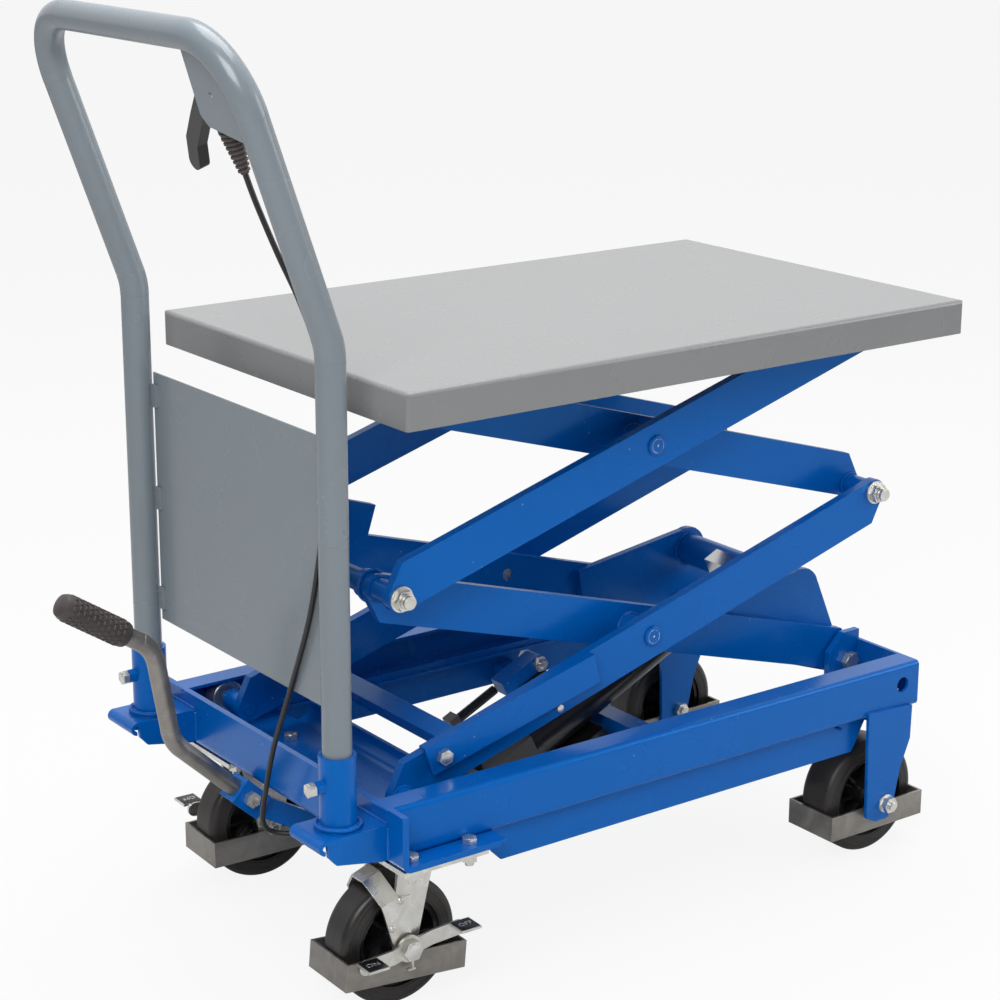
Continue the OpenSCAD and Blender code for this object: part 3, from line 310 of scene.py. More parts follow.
# %% Group: plating
plating_group, g, given = make_group("Plating", {"Cloud size": 40.0}, {"Tone": FLOAT, "Height": FLOAT})
cloud = g.span(g.noise(given["Cloud size"], 6.0, distortion=0.8), 0.3, 0.72)
grain = g.noise(1300.0, 2.0)
tone = g.math("ADD", g.math("MULTIPLY", cloud, 0.8), g.math("MULTIPLY", grain, 0.2))
g.result(Tone=tone, Height=grain)

# %% Group: drawn steel
drawn_group, g, given = make_group("Drawn steel", {"Fineness": 2.0}, {"Tone": FLOAT, "Height": FLOAT})
lines = g.noise(given["Fineness"], 4.0, (14.0, 14.0, 420.0))
stain = g.span(g.noise(22.0, 5.0, distortion=1.2), 0.35, 0.75)
g.result(Tone=g.math("ADD", g.math("MULTIPLY", lines, 0.45), g.math("MULTIPLY", stain, 0.55)), Height=lines)
print("effects", [group.name for group in bpy.data.node_groups])

# %% [markdown]
# ## Materials
# Each finish gets one function. What is the same all over the surface is set on the shader's own
# sockets, and only what changes from place to place is linked.

# %% Helpers for materials


def new_material(name):
    material = bpy.data.materials.new(name)
    material.use_nodes = True
    material.node_tree.nodes.clear()
    sketch = Sketch(material.node_tree)
    shader = sketch.add("ShaderNodeBsdfPrincipled")
    output = sketch.add("ShaderNodeOutputMaterial")
    sketch.tree.links.new(shader.outputs[0], output.inputs["Surface"])
    return material, sketch, shader


def use(sketch, group, **inputs):
    """Places a shared effect in a material."""
    node = sketch.tree.nodes.new("ShaderNodeGroup")
    node.node_tree = group
    for label, value in inputs.items():
        sketch.feed(node, label.replace("_", " "), value)
    return node.outputs


def bump(sketch, shader, height, strength, distance, normal=None):
    node = sketch.add("ShaderNodeBump", Strength=strength, Distance=distance, Height=height)
    if normal is not None:
        sketch.tree.links.new(normal, node.inputs["Normal"])
    sketch.tree.links.new(node.outputs[0], shader.inputs["Normal"])


def shade(colour, factor):
    """A colour, lighter or darker by factor, with its alpha."""
    return (*(min(1.0, part * factor) for part in colour), 1.0)


BARE = (0.30, 0.29, 0.27, 1.0)
# The pale colour of dust, which also paints the glints of the blue enamel.
DUST_AND_GLINT = (0.42, 0.40, 0.36, 1.0)

# %% [markdown]
# ### Paint
# The frame and arms have a deep blue semi-gloss enamel, and the handle and deck a blue-grey one.
# Under the chips there is dark, slightly shiny steel. The blue is so deep that even its gloss looks
# blue where it is seen straight on, so its mirror light is tinted.

# %% Painted steel


def painted_steel(name, colour, rough=(0.24, 0.28), chips=0.35, dust=0.012, scratches=0.04, peel=0.06,
                  dust_and_glint_specks=0.0, gleam=(1, 1, 1, 1)):
    material, s, shader = new_material(name)
    edge = use(s, edge_group, Radius=0.0009)
    skin = use(s, skin_group)
    chipped = use(s, chip_group, Edge=edge["Edge"], Amount=chips, Size=60.0)["Mask"]
    settled = use(s, dust_and_glint_group, Amount=dust, Specks=dust_and_glint_specks)["Mask"]
    scored = use(s, scratch_group, Amount=scratches)["Mask"]
    coat = s.blend(skin["Gloss patches"], shade(colour, 0.985), shade(colour, 1.015))
    # Painted highlight: the paint is made lighter along each edge to stand for the line of light that a rounded
    # edge catches.
    coat = s.blend(s.math("MULTIPLY", edge["Edge"], 0.3), coat, shade(colour, 1.5))
    coat = s.blend(scored, coat, shade(colour, 1.4))
    coat = s.blend(chipped, coat, BARE)
    # The dust mask also carries the rare pale spots, which on the blue enamel are painted glints.
    s.feed(shader, "Base Color", s.blend(settled, coat, DUST_AND_GLINT))
    gloss = s.span(skin["Gloss patches"], 0.0, 1.0, rough[0], rough[1])
    rougher = s.math("ADD", gloss, s.math("MULTIPLY", settled, 0.4), clamp=True)
    s.feed(shader, "Roughness", rougher)
    shader.inputs["Specular IOR Level"].default_value = 0.5
    shader.inputs["Specular Tint"].default_value = gleam
    shader.inputs["Coat Roughness"].default_value = 0.08
    shader.inputs["Coat Weight"].default_value = 0.08
    bump(s, shader, skin["Height"], peel, 0.0006, edge["Normal"])
    return material


# %% [markdown]
# ### Metal
# Casters, axles and bolts are zinc plated, the guards and the lever's tube are bare rolled steel
# with brown stains, and the piston rod is chromed and polished.

# %% Bare and plated metal


def plated_steel(name, dark, light, rough=(0.28, 0.46), cloud=45.0):
    material, s, shader = new_material(name)
    edge = use(s, edge_group, Radius=0.0006)
    plating = use(s, plating_group, Cloud_size=cloud)
    tone = s.blend(plating["Tone"], dark, light)
    # Painted highlight: the zinc is made lighter along each edge to stand for the line of light that a rounded
    # edge catches.
    s.feed(shader, "Base Color", s.blend(s.math("MULTIPLY", edge["Edge"], 0.4), tone, shade(light[:3], 1.3)))
    s.feed(shader, "Roughness", s.span(plating["Tone"], 0.0, 1.0, rough[1], rough[0]))
    shader.inputs["Metallic"].default_value = 0.9
    bump(s, shader, plating["Height"], 0.12, 0.0003, edge["Normal"])
    return material


def rolled_steel(name, dark, light, fineness=2.0):
    material, s, shader = new_material(name)
    edge = use(s, edge_group, Radius=0.0006)
    drawn = use(s, drawn_group, Fineness=fineness)
    scored = use(s, scratch_group, Amount=0.3)["Mask"]
    tone = s.blend(drawn["Tone"], dark, light)
    tone = s.blend(scored, tone, shade(light[:3], 1.35))
    # Painted highlight: the steel is made lighter along each edge to stand for the line of light that a rounded
    # edge catches.
    s.feed(shader, "Base Color", s.blend(s.math("MULTIPLY", edge["Edge"], 0.5), tone, shade(light[:3], 1.5)))
    s.feed(shader, "Roughness", s.span(drawn["Tone"], 0.1, 0.9, 0.34, 0.56))
    shader.inputs["Metallic"].default_value = 0.85
    bump(s, shader, drawn["Height"], 0.15, 0.0004, edge["Normal"])
    return material


def polished_rod(name):
    material, s, shader = new_material(name)
    drawn = use(s, drawn_group, Fineness=5.0)
    s.feed(shader, "Base Color", s.blend(drawn["Tone"], (0.5, 0.5, 0.5, 1), (0.68, 0.68, 0.67, 1)))
    s.feed(shader, "Roughness", s.span(drawn["Tone"], 0.0, 1.0, 0.1, 0.2))
    shader.inputs["Metallic"].default_value = 1.0
    return material


# %% [markdown]
# ### Rubber and plastic
# The tyres are near-black rubber, greyer and duller where they roll, the wheel cores are glossy black
# plastic, and the lever's grip and the cable's boot are softer.

# %% Rubber and plastic


def rubber(name, colour, worn, rough=(0.34, 0.5), grain=0.15, dust=0.1, dust_and_glint_specks=0.0):
    material, s, shader = new_material(name)
    skin = use(s, skin_group, Peel_size=700.0)
    settled = use(s, dust_and_glint_group, Amount=dust, Specks=dust_and_glint_specks)["Mask"]
    scored = use(s, scratch_group, Amount=0.2)["Mask"]
    tone = s.blend(skin["Gloss patches"], (*colour, 1), (*worn, 1))
    tone = s.blend(scored, tone, shade(worn, 1.5))
    s.feed(shader, "Base Color", s.blend(settled, tone, (0.2, 0.19, 0.17, 1)))
    s.feed(shader, "Roughness", s.span(skin["Gloss patches"], 0.0, 1.0, rough[0], rough[1]))
    shader.inputs["Specular IOR Level"].default_value = 0.45
    bump(s, shader, skin["Height"], grain, 0.0005)
    return material


def moulded_plastic(name, colour, rough=(0.18, 0.3)):
    material, s, shader = new_material(name)
    edge = use(s, edge_group, Radius=0.0009)
    skin = use(s, skin_group, Peel_size=420.0)
    settled = use(s, dust_and_glint_group, Amount=0.05)["Mask"]
    tone = s.blend(skin["Gloss patches"], shade(colour, 0.85), shade(colour, 1.15))
    s.feed(shader, "Base Color", s.blend(settled, tone, (0.16, 0.15, 0.14, 1)))
    s.feed(shader, "Roughness", s.span(skin["Gloss patches"], 0.0, 1.0, rough[0], rough[1]))
    bump(s, shader, skin["Height"], 0.08, 0.0004, edge["Normal"])
    return material


# %% Every finish of the table
finishes = {
    # The blue's rare pale spots are painted glints.
    "blue_paint": painted_steel("blue enamel", (0.0, 0.1, 0.42), dust_and_glint_specks=0.5, gleam=(0.1, 0.5, 1, 1)),
    "grey_paint": painted_steel("grey enamel", (0.178, 0.21, 0.236)),
    "deck_paint": painted_steel("deck enamel", (0.205, 0.209, 0.212), rough=(0.26, 0.29), scratches=0.06),
    "black_paint": painted_steel("black enamel", (0.008, 0.008, 0.009), chips=0.2, peel=0.25),
    "zinc_plate": plated_steel("zinc plating", (0.58, 0.57, 0.53, 1), (0.74, 0.73, 0.69, 1), (0.24, 0.38)),
    "bare_steel": rolled_steel("bare steel", (0.2, 0.185, 0.165, 1), (0.38, 0.365, 0.34, 1)),
    "dark_pads": plated_steel("dark pedal pad", (0.03, 0.036, 0.042, 1), (0.06, 0.068, 0.076, 1),
                              rough=(0.3, 0.42)),
    "rod_chrome": polished_rod("chromed rod"),
    "tyre_rubber": rubber("tyre rubber", (0.016, 0.0145, 0.014), (0.03, 0.026, 0.024)),
    "core_plastic": moulded_plastic("wheel core", (0.008, 0.008, 0.009)),
    "grip_rubber": rubber("grip rubber", (0.045, 0.038, 0.037), (0.075, 0.062, 0.06), (0.45, 0.62)),
    "cable_sheath": rubber("cable sheath", (0.009, 0.009, 0.01), (0.016, 0.016, 0.017), (0.3, 0.42), 0.1),
}
worn_tread = rubber("worn tread", (0.016, 0.0135, 0.012), (0.05, 0.041, 0.035), rough=(0.55, 0.72),
                    grain=0.5, dust_and_glint_specks=1.0)
slots = {part["node"]: part["material_slot"] for part in record["subparts"]}
for node_name, node in frame["nodes"].items():
    node.data.materials.clear()
    pedal = node_name.startswith("brake_pedal")
    node.data.materials.append(finishes["zinc_plate" if pedal else slots[node_name]])
print("finishes", len(finishes), "on", len(slots), "nodes")

# %% [markdown]
# ## Modelling helpers
# Three ways of making shapes cover almost everything that is left. A round part is a profile spun
# about its axis. A cable, a thread or a weld is a ring pulled along a path, stretched or pinched as
# it goes. A small block is a cube with its edges bevelled. All three work on a bmesh, so that many
# small shapes can be gathered into one piece.

# %% Finishing a piece
SMOOTH_BELOW = math.radians(35)


def make_piece(bm, name, body, slot, finish=None):
    """Turns a bmesh into a piece that rides on a body, in the slot's finish or one of its own."""
    bmesh.ops.recalc_face_normals(bm, faces=bm.faces)
    mesh = bpy.data.meshes.new(name)
    bm.to_mesh(mesh)
    bm.free()
    mesh.shade_smooth()
    mesh.set_sharp_from_angle(angle=SMOOTH_BELOW)
    mesh.materials.append(finish or finishes[slot])
    piece = bpy.data.objects.new(name, mesh)
    bpy.context.collection.objects.link(piece)
    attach(piece, body)
    print(name, "rides on", body, "with", len(mesh.polygons), "faces")
    return piece


# %% Spinning, sweeping and bevelled blocks


def lathe(bm, profile, place, steps=32):
    """Spins a profile of (radius, height) points about the z axis of place."""
    before = set(bm.verts)
    verts = [bmesh.ops.create_vert(bm, co=(radius, 0, height))["vert"][0] for radius, height in profile]
    edges = [bm.edges.new(pair) for pair in zip(verts, verts[1:])]
    bmesh.ops.spin(bm, geom=verts + edges, cent=(0, 0, 0), axis=(0, 0, 1), angle=2 * math.pi,
                   steps=steps, use_merge=True, use_duplicate=False)
    bmesh.ops.remove_doubles(bm, verts=[v for v in bm.verts if v not in before], dist=1e-5)
    bmesh.ops.transform(bm, matrix=place, verts=[v for v in bm.verts if v not in before])


def ring(bm, place, radius, thick, steps=64, sides=8):
    """A round ring about the z axis of place."""
    made = bmesh.ops.create_circle(bm, cap_ends=False, segments=sides, radius=thick,
                                   matrix=Matrix.Translation((radius, 0, 0)) @ FRONT)
    verts = made["verts"]
    edges = list({edge for vert in verts for edge in vert.link_edges})
    before = set(bm.verts) - set(verts)
    bmesh.ops.spin(bm, geom=verts + edges, cent=(0, 0, 0), axis=(0, 0, 1), angle=2 * math.pi,
                   steps=steps, use_merge=True, use_duplicate=False)
    bmesh.ops.transform(bm, matrix=place, verts=[v for v in bm.verts if v not in before])


def sweep(bm, path, radii, sides=8):
    """Pulls a round ring along a path of points, with its own radius at each point, and closes both ends."""
    steps = [(b - a).normalized() for a, b in zip(path, path[1:])]
    steps.append(steps[-1])
    turn = steps[0].to_track_quat("Z", "Y")
    frames = []
    for index, point in enumerate(path):
        if index:
            turn = steps[index - 1].rotation_difference(steps[index]) @ turn
        frames.append(Matrix.Translation(point) @ turn.to_matrix().to_4x4() @ Matrix.Scale(radii[index], 4))
    verts = bmesh.ops.create_circle(bm, cap_ends=True, segments=sides, radius=1.0, matrix=frames[0])["verts"]
    edges = list({edge for vert in verts for edge in vert.link_edges})
    for old, new in zip(frames, frames[1:]):
        made = bmesh.ops.extrude_edge_only(bm, edges=edges)["geom"]
        verts = [part for part in made if isinstance(part, bmesh.types.BMVert)]
        edges = [part for part in made if isinstance(part, bmesh.types.BMEdge)
                 and all(vert in verts for vert in part.verts)]
        bmesh.ops.transform(bm, matrix=new @ old.inverted(), verts=verts)
    bmesh.ops.edgeloop_fill(bm, edges=edges)


def block(bm, size, place, edge=0.8, segments=2):
    """A cube of the given size with bevelled edges."""
    made = bmesh.ops.create_cube(bm, size=1.0, matrix=Matrix.Diagonal((*size, 1)))
    verts = made["verts"]
    edges = list({e for vert in verts for e in vert.link_edges})
    before = set(bm.verts) - set(verts)
    bmesh.ops.bevel(bm, geom=edges, offset=edge, offset_type="OFFSET", affect="EDGES", segments=segments,
                    profile=0.5, material=-1, clamp_overlap=True)
    bmesh.ops.transform(bm, matrix=place, verts=[v for v in bm.verts if v not in before])


# %% [markdown]
# ## The release cable
# A sheathed cable runs from the boot on the handle's gusset, down the near post, behind the sheet
# panel and under the base to the pump. Its route is a handful of points, the same ones that the
# solid cable follows, and a smooth curve is drawn through them. The cable is stiff, so its bends are
# wide, and it goes back into the object at its far end.

# %% Cable
CABLE_R = 3.2
CABLE_ROUTE = [at(*point) for point in (
    (-514.5, -136, 971), (-507, -136, 949), (-497, -140, 918), (-482, -154, 868), (-467, -170, 820),
    (-457, -185, 770), (-454, -191, 720), (-454, -191, 640), (-453, -187, 590), (-452, -176, 540),
    (-452, -152, 460), (-451, -110, 370), (-446, -60, 280), (-440, -28, 210), (-434, -10, 168),
    (-420, -8, 149), (-390, -24, 145), (-330, -44, 150), (-250, -50, 148), (-180, -47, 128),
    (-130, -42, 114), (-92, -40.6, 112),
)]


def smooth_path(points, pieces=6):
    """Points on a smooth curve that goes through the given ones."""
    padded = [2 * points[0] - points[1], *points, 2 * points[-1] - points[-2]]
    path = []
    for a, b, c, d in zip(padded, padded[1:], padded[2:], padded[3:]):
        for step in range(pieces):
            t = step / pieces
            path.append(0.5 * (2 * b + (c - a) * t + (2 * a - 5 * b + 4 * c - d) * t ** 2
                               + (3 * b - a - 3 * c + d) * t ** 3))
    return [*path, points[-1]]


def length_of(path):
    return sum((b - a).length for a, b in zip(path, path[1:]))


cable_path = smooth_path(CABLE_ROUTE)
bm = bmesh.new()
sweep(bm, cable_path, [CABLE_R * MM] * len(cable_path), sides=12)
cable = make_piece(bm, "cable", "chassis", "cable_sheath")
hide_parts("release_cable")
print("cable length", round(length_of(cable_path), 3), "m")

# %% [markdown]
# ## The boot
# Where the cable leaves the gusset, a rubber boot keeps it from kinking. Its square head clips to
# the plate, and its tail is a stack of ribs that grow thinner downwards. The ribs are one zigzag
# profile, spun round the cable.

# %% Boot
BOOT_RIBS = 8
boot_place = handle_top @ Matrix.Translation((11, -136, LEAN_LENGTH - 98)) @ Matrix.Rotation(math.pi, 4, "X")
profile = [(0.0, 12.0), (11.5, 12.0), (12.0, 15.0)]
for rib in range(BOOT_RIBS):
    low = 16 + rib * 5.4
    width = 12.2 - rib * 0.78
    profile += [(width - 2.0, low), (width, low + 1.2), (width, low + 3.0), (width - 2.2, low + 4.2)]
profile += [(4.6, 59.6), (3.6, 60.0), (3.5, 45.0), (0.0, 45.0)]
bm = bmesh.new()
lathe(bm, profile, boot_place, steps=36)
block(bm, (20, 26, 16), boot_place @ Matrix.Translation((1.2, 0, 8)), edge=1.8, segments=3)
boot = make_piece(bm, "boot", "chassis", "grip_rubber")
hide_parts("cable_boot")

# %% [markdown]
# ## Weld beads
# The frame is welded from plate, channel and tube, and a weld shows as a rope of overlapping
# ripples, like a row of leaning coins. Each bead here is a ring pulled along the joint, swelling and
# pinching every few millimetres. One function walks a path and sets the ripples; the paths are short
# straight runs or circles round a tube, and they are painted with the part they belong to.

# %% Bead along a path
RIPPLE = 3.4


def bead(bm, corners, size=2.3):
    """A rope of weld metal along straight runs between corners, which are points in millimetres."""
    path = []
    for a, b in zip(corners, corners[1:]):
        count = max(2, round((b - a).length / (RIPPLE * MM)))
        path += [a.lerp(b, (step + part) / count) for step in range(count) for part in (0.0, 0.35, 0.7)]
    path.append(corners[-1])
    swell = (0.78, 1.0, 0.94)
    radii = [size * MM * swell[index % 3] for index in range(len(path))]
    radii[0] = radii[-1] = size * MM * 0.5
    sweep(bm, path, radii, sides=6)


def round_path(centre, radius, axis, start=0.0, end=360.0, pieces=28):
    """Points on an arc about an axis through centre, counted in degrees; radius is in millimetres."""
    turn = Vector(axis).to_track_quat("Z", "X").to_matrix()
    angles = [math.radians(start + (end - start) * step / pieces) for step in range(pieces + 1)]
    return [centre + turn @ Vector((math.cos(a), math.sin(a), 0)) * radius * MM for a in angles]


# %% Beads of the frame
bm = bmesh.new()
for side in SIDES:
    bead(bm, round_path(at(POST_X, side * POST_Y, EAR_TOP + 3.4), 25.2, (0, 0, 1)), 2.6)
    for edge in (-31, 31):
        bead(bm, [at(-413.4, side * POST_Y + edge, z) for z in (200, 220, 238)], 2.4)
    bead(bm, [at(-413.4, side * POST_Y + y, 241.6) for y in (-29, 29)], 2.4)
    for x, z in ((-413.2, 257), (-413.2, 200)):
        bead(bm, [at(x, side * 214, z), at(x, side * 246, z)], 1.8)
    for x in (277, 329):
        bead(bm, [at(x, side * 212, 190.5), at(x, side * 244, 190.5)], 2.2)
    for x in (-226, -96, 40, 170):
        bead(bm, [at(x, side * 229.6, 197.4), at(x + 46, side * 229.6, 197.4)], 2.0)
    for z in (214, 262):
        bead(bm, [at(399.6, side * 132.6, z - 2), at(399.6, side * 132.6, z - 30)], 2.2)
make_piece(bm, "frame_welds", "chassis", "blue_paint")

# %% Beads of the handle and the scissor
bm = bmesh.new()
for side in SIDES:
    for z in (391, 517, 643):
        for edge in (-13, 13):
            bead(bm, [at(-449.2, side * 186.5, z + edge), at(-449.2, side * 197.0, z + edge)], 1.5)
for x in (-2.6, 2.6):
    for start, end in (((-198.6, -111.6), (-198.6, -88)), ((-127, -15.6), (-115, -15.6))):
        bead(bm, [handle_top @ Vector((x, y, LEAN_LENGTH + z)) for y, z in (start, end)], 1.6)
make_piece(bm, "handle_welds", "chassis", "grey_paint")

LANE_OUT, LANE_IN = 176, 130
ARM_T = 12
corner_pin = pin("lift")
middle_left = pin("middle_pin")
low_centre = pin("lower_scissor")
high_centre = pin("upper_scissor")
low_left = pin("base_roller_near_spin")


def beside(point, y):
    """The point's place in x and z, at y millimetres from the middle."""
    return Vector((point.x, y * MM, point.z))


boss_beads = {
    "lower_inner": ((low_centre, 16.8), (middle_left, 14.3)),
    "upper_inner": ((high_centre, 16.8), (Vector((corner_pin.x, 0, middle_left.z)), 14.3)),
    "lower_outer": ((low_left, 14.3),),
}
for body, bosses in boss_beads.items():
    bm = bmesh.new()
    for centre, radius in bosses:
        for side in SIDES:
            face = side * (LANE_OUT if body == "lower_outer" else LANE_IN)
            bead(bm, round_path(beside(centre, face + side * 0.8), radius, (0, 1, 0)), 2.2)
    if body == "lower_inner":
        for side in SIDES:
            inside = side * (LANE_IN - ARM_T - 1)
            bead(bm, round_path(beside(middle_left, inside), 18.2, (0, 1, 0)), 2.2)
            bead(bm, round_path(beside(middle_left, side * 103.6), 14.4, (0, 1, 0)), 2.0)
            yoke_tube = at(YOKE[0], side * 107.2, YOKE[1])
            bead(bm, round_path(yoke_tube, 22.2, (0, 1, 0)), 2.4)
    make_piece(bm, body + "_welds", body, "blue_paint")

# %% [markdown]
# ## Closed rail ends
# The channels of the frame are closed by a plate at the wheel end, so the round hole in each rail
# looks into the dark. The plates are thin blocks set between the channel's flanges.

# %% Rail ends
bm = bmesh.new()
for side in SIDES:
    place = Matrix.Translation(at(402.8, side * 228.6, 232.1)) @ Matrix.Scale(MM, 4)
    block(bm, (4, 30.6, 43.4), place, edge=0.6)
make_piece(bm, "rail_end_plates", "chassis", "blue_paint")

# %% [markdown]
# ## Bolt ends
# A hexagon head has a low turned crown on top, and a bolt that comes through its nut shows a few
# turns of thread. The crown is a spun profile. The thread is a thin ring pulled up a helix round
# a core, which is all the eye can tell at this size.

# %% Crowns and threads


def facing(point, axis):
    """A frame in millimetres at point, with its z axis along axis."""
    turn = Vector(axis).to_track_quat("Z", "X").to_matrix().to_4x4()
    return Matrix.Translation(point) @ turn @ Matrix.Scale(MM, 4)


def crown(bm, place, radius):
    lathe(bm, [(0, 0.45), (radius - 0.9, 0.45), (radius, 0), (radius, -0.4), (0, -0.4)], place, steps=24)


def thread(bm, place, radius, length, pitch=1.75):
    """A core with a helical ridge, from the frame's origin along its z axis, and a small chamfer."""
    root = radius - 0.5
    lathe(bm, [(0, -0.5), (root, -0.5), (root, length - 0.8), (root - 0.9, length), (0, length)], place,
          steps=24)
    turns = [(2 * math.pi * step / 16, pitch * step / 16) for step in range(round(16 * length / pitch))]
    crest = radius * 0.95
    path = [place @ Vector((crest * math.cos(a), crest * math.sin(a), z)) for a, z in turns]
    sweep(bm, path, [0.48 * MM] * len(path), sides=5)


# %% Bolt ends on the base
bm = bmesh.new()
for side in SIDES:
    axle = (0, side, 0)
    thread(bm, facing(at(350, side * 265.2, WHEEL_R), axle), 6, 4.2)
    crown(bm, facing(at(350, side * 147, WHEEL_R), (0, -side, 0)), 8.6)
    for x in (-391.5, -312.5):
        for y in (124.5, 257.5):
            crown(bm, facing(at(x, side * y, 204.5), (0, 0, 1)), 7.2)
            thread(bm, facing(at(x, side * y, 175.8), (0, 0, -1)), 4.9, 4.6, 1.5)
    crown(bm, facing(at(-496.6, side * 214, 291), (-1, 0, 0)), 6.8)
    crown(bm, facing(at(383, side * 151, 232), (0, -side, 0)), 9.9)
    crown(bm, facing(at(49.4, side * 54, 148.1), (0, side, 0)), 7.6)
crown(bm, facing(at(-29.5, -22, 277.3), (0, -1, 0)), 5.6)
make_piece(bm, "base_bolt_ends", "chassis", "zinc_plate")

for side, body in zip(SIDES, ("swivel_near", "swivel_far")):
    bm = bmesh.new()
    crown(bm, swivel(side) @ Matrix.Translation((0, -51.8, 0)) @ FRONT, 10.2)
    thread(bm, swivel(side) @ Matrix.Translation((0, 48.3, 0)) @ FRONT.inverted(), 6, 4.0)
    for x, z in ((-19, 27), (-8, 59)):
        bump_place = swivel(side) @ Matrix.Translation((x, -37.1, z)) @ FRONT
        lathe(bm, [(0, 2.4), (2.6, 2.1), (4.0, 1.0), (4.5, -0.4), (0, -0.4)], bump_place, steps=20)
    block(bm, (10, 6, 2.2), swivel(side) @ Matrix.Translation((-2, -47.5, -22)), edge=0.5)
    block(bm, (3, 2.2, 8), swivel(side) @ Matrix.Translation((1.5, -45.6, -18.4)), edge=0.5)
    make_piece(bm, body + "_bolt_ends", body, "zinc_plate")

# %% [markdown]
# ## Pins of the scissor
# The centre pins end in blue pressed caps with a turned groove and a small oil hole. The pins at the
# four middle corners are threaded studs, and the safety bar hangs from a bolt with a wide head.

# %% Caps and studs
for body, centre in (("lower_inner", low_centre), ("upper_outer", high_centre)):
    bm = bmesh.new()
    for side in SIDES:
        profile = [(0, 2.4), (1.5, 2.4), (1.5, 3.0), (7.6, 3.0), (8.1, 2.5), (8.7, 2.5), (9.2, 3.0),
                   (11.2, 2.9), (12.5, 1.8), (12.7, -0.2), (10.1, -0.2), (10.1, -2.4), (0, -2.4)]
        lathe(bm, profile, facing(beside(centre, side * 176.5), (0, side, 0)), steps=40)
    make_piece(bm, body + "_pin_caps", body, "blue_paint")
middle_right = Vector((corner_pin.x, 0, middle_left.z))
for body, centre in (("lower_inner", middle_left), ("lower_outer", middle_right)):
    bm = bmesh.new()
    for side in SIDES:
        thread(bm, facing(beside(centre, side * 190.9), (0, side, 0)), 8, 4.2, 2.0)
    if body == "lower_outer":
        crown(bm, facing(at(-299.5, -196, 276), (0, -1, 0)), 7.4)
        crown(bm, facing(at(-131.1, -189, 295.1), (0, -1, 0)), 4.4)
    make_piece(bm, body + "_pin_ends", body, "zinc_plate")

# %% [markdown]
# ## Wheels
# A tyre is moulded, so its side walls carry thin raised rings where the halves of the mould met, and
# a worn, rougher band runs round the tread. The core has a raised ring at its rim and at its hub.
# Everything here is spun about the wheel's own joint, and turns with it.

# %% Rings of the wheels
for body, half in (("fixed_wheel_near", 25), ("fixed_wheel_far", 25), ("swivel_wheel_near", 23),
                   ("swivel_wheel_far", 23)):
    hub = facing(pin(body + "_spin"), joints[body + "_spin"]["axis"])
    walls, band, core = bmesh.new(), bmesh.new(), bmesh.new()
    for face in SIDES:
        for bm, height, radius, thick in ((walls, half - 0.25, 66.4, 0.7), (walls, half - 0.3, 57.4, 0.9),
                                          (core, half - 3.2, 51.0, 1.0), (core, half + 0.8, 16.0, 0.8)):
            ring(bm, hub @ Matrix.Translation((0, 0, face * height)), radius, thick)
    lathe(band, [(75.5, -9), (76.05, -8.6), (76.22, 0), (76.05, 8.6), (75.5, 9), (75.5, -9)], hub, steps=96)
    make_piece(walls, body + "_tyre_rings", body, "tyre_rubber")
    make_piece(band, body + "_tread_band", body, "tyre_rubber", worn_tread)
    make_piece(core, body + "_core_rings", body, "core_plastic")

# %% [markdown]
# ## The lever's grip
# The grip is a rubber sleeve with rows of small blocks that stop a hand or a shoe from slipping. The
# sleeve is one profile, rounded at the closed end and open where the tube goes in, and the blocks
# are repeated round it and along it.

# %% Grip
GRIP_ROWS = 11
GRIP_COLUMNS = 14
GRIP_PITCH = 7.2
GRIP_END = Vector((-655, 0, 464))
GRIP_BEND = Vector((-540, 0, 388))
grip_axis = (GRIP_END - GRIP_BEND).normalized()
grip_place = facing(at(GRIP_END.x, 46, GRIP_END.z), grip_axis)
bm = bmesh.new()
profile = [(0, 0), (8.5, -0.2), (13.2, -2.6), (15.3, -7.5), (15.3, -93), (14.3, -96), (11.12, -96),
           (11.12, -6), (0, -6)]
lathe(bm, profile, grip_place, steps=56)
for row in range(GRIP_ROWS):
    for step in range(GRIP_COLUMNS):
        turn = Matrix.Rotation(2 * math.pi * (step + row % 2 / 2) / GRIP_COLUMNS, 4, "Z")
        place = grip_place @ turn @ Matrix.Translation((15.35, 0, -13.5 - row * GRIP_PITCH))
        block(bm, (1.9, 5.2, 4.6), place, edge=0.5, segments=1)
grip = make_piece(bm, "grip", "foot_lever", "grip_rubber")
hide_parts("foot_lever_grip")
bm = bmesh.new()
crown(bm, facing(at(-427, 20.8, 179.6), (0, -1, 0)), 5.6)
make_piece(bm, "lever_bolt_crown", "foot_lever", "zinc_plate")

# %% [markdown]
# ## The cylinder
# Where the rod leaves the barrel there is a gland nut with a rubber wiper, and the pump's block has
# two screwed plugs on its near face. The seal and the gland are spun about the ram.

# %% Wiper, gland and plugs


def on_ram(s):
    """A frame at s millimetres along the ram, with its z axis up the rod."""
    return along_ram @ Matrix.Translation((s, 0, 0)) @ Matrix.Rotation(math.pi / 2, 4, "Y")


bm = bmesh.new()
profile = [(14.5, 0.6), (17.0, 2.6), (21.0, 2.2), (22.0, 0.4), (22.0, -0.5), (14.5, -0.5), (14.5, 0.6)]
lathe(bm, profile, on_ram(-98), steps=48)
make_piece(bm, "rod_wiper", "chassis", "cable_sheath")
bm = bmesh.new()
ring(bm, on_ram(-104), 30.0, 0.9)
ring(bm, on_ram(-109), 30.0, 0.9)
for s, v in ((-418, -2), (-452, -38)):
    place = along_ram @ Matrix.Translation((s, -35.8, v)) @ FRONT
    profile = [(0, 1.2), (3.4, 1.2), (3.8, 4.0), (8.2, 4.0), (9.0, 3.2), (9.0, -0.3), (0, -0.3)]
    lathe(bm, profile, place, steps=6)
make_piece(bm, "gland_and_plugs", "chassis", "black_paint")

# %% [markdown]
# ## Brake pedals
# Each swivel caster is held by a rocking pedal with two dark faces. The raised words on them are
# text, turned into a mesh and then laid flat on each face.

# %% Pads and words


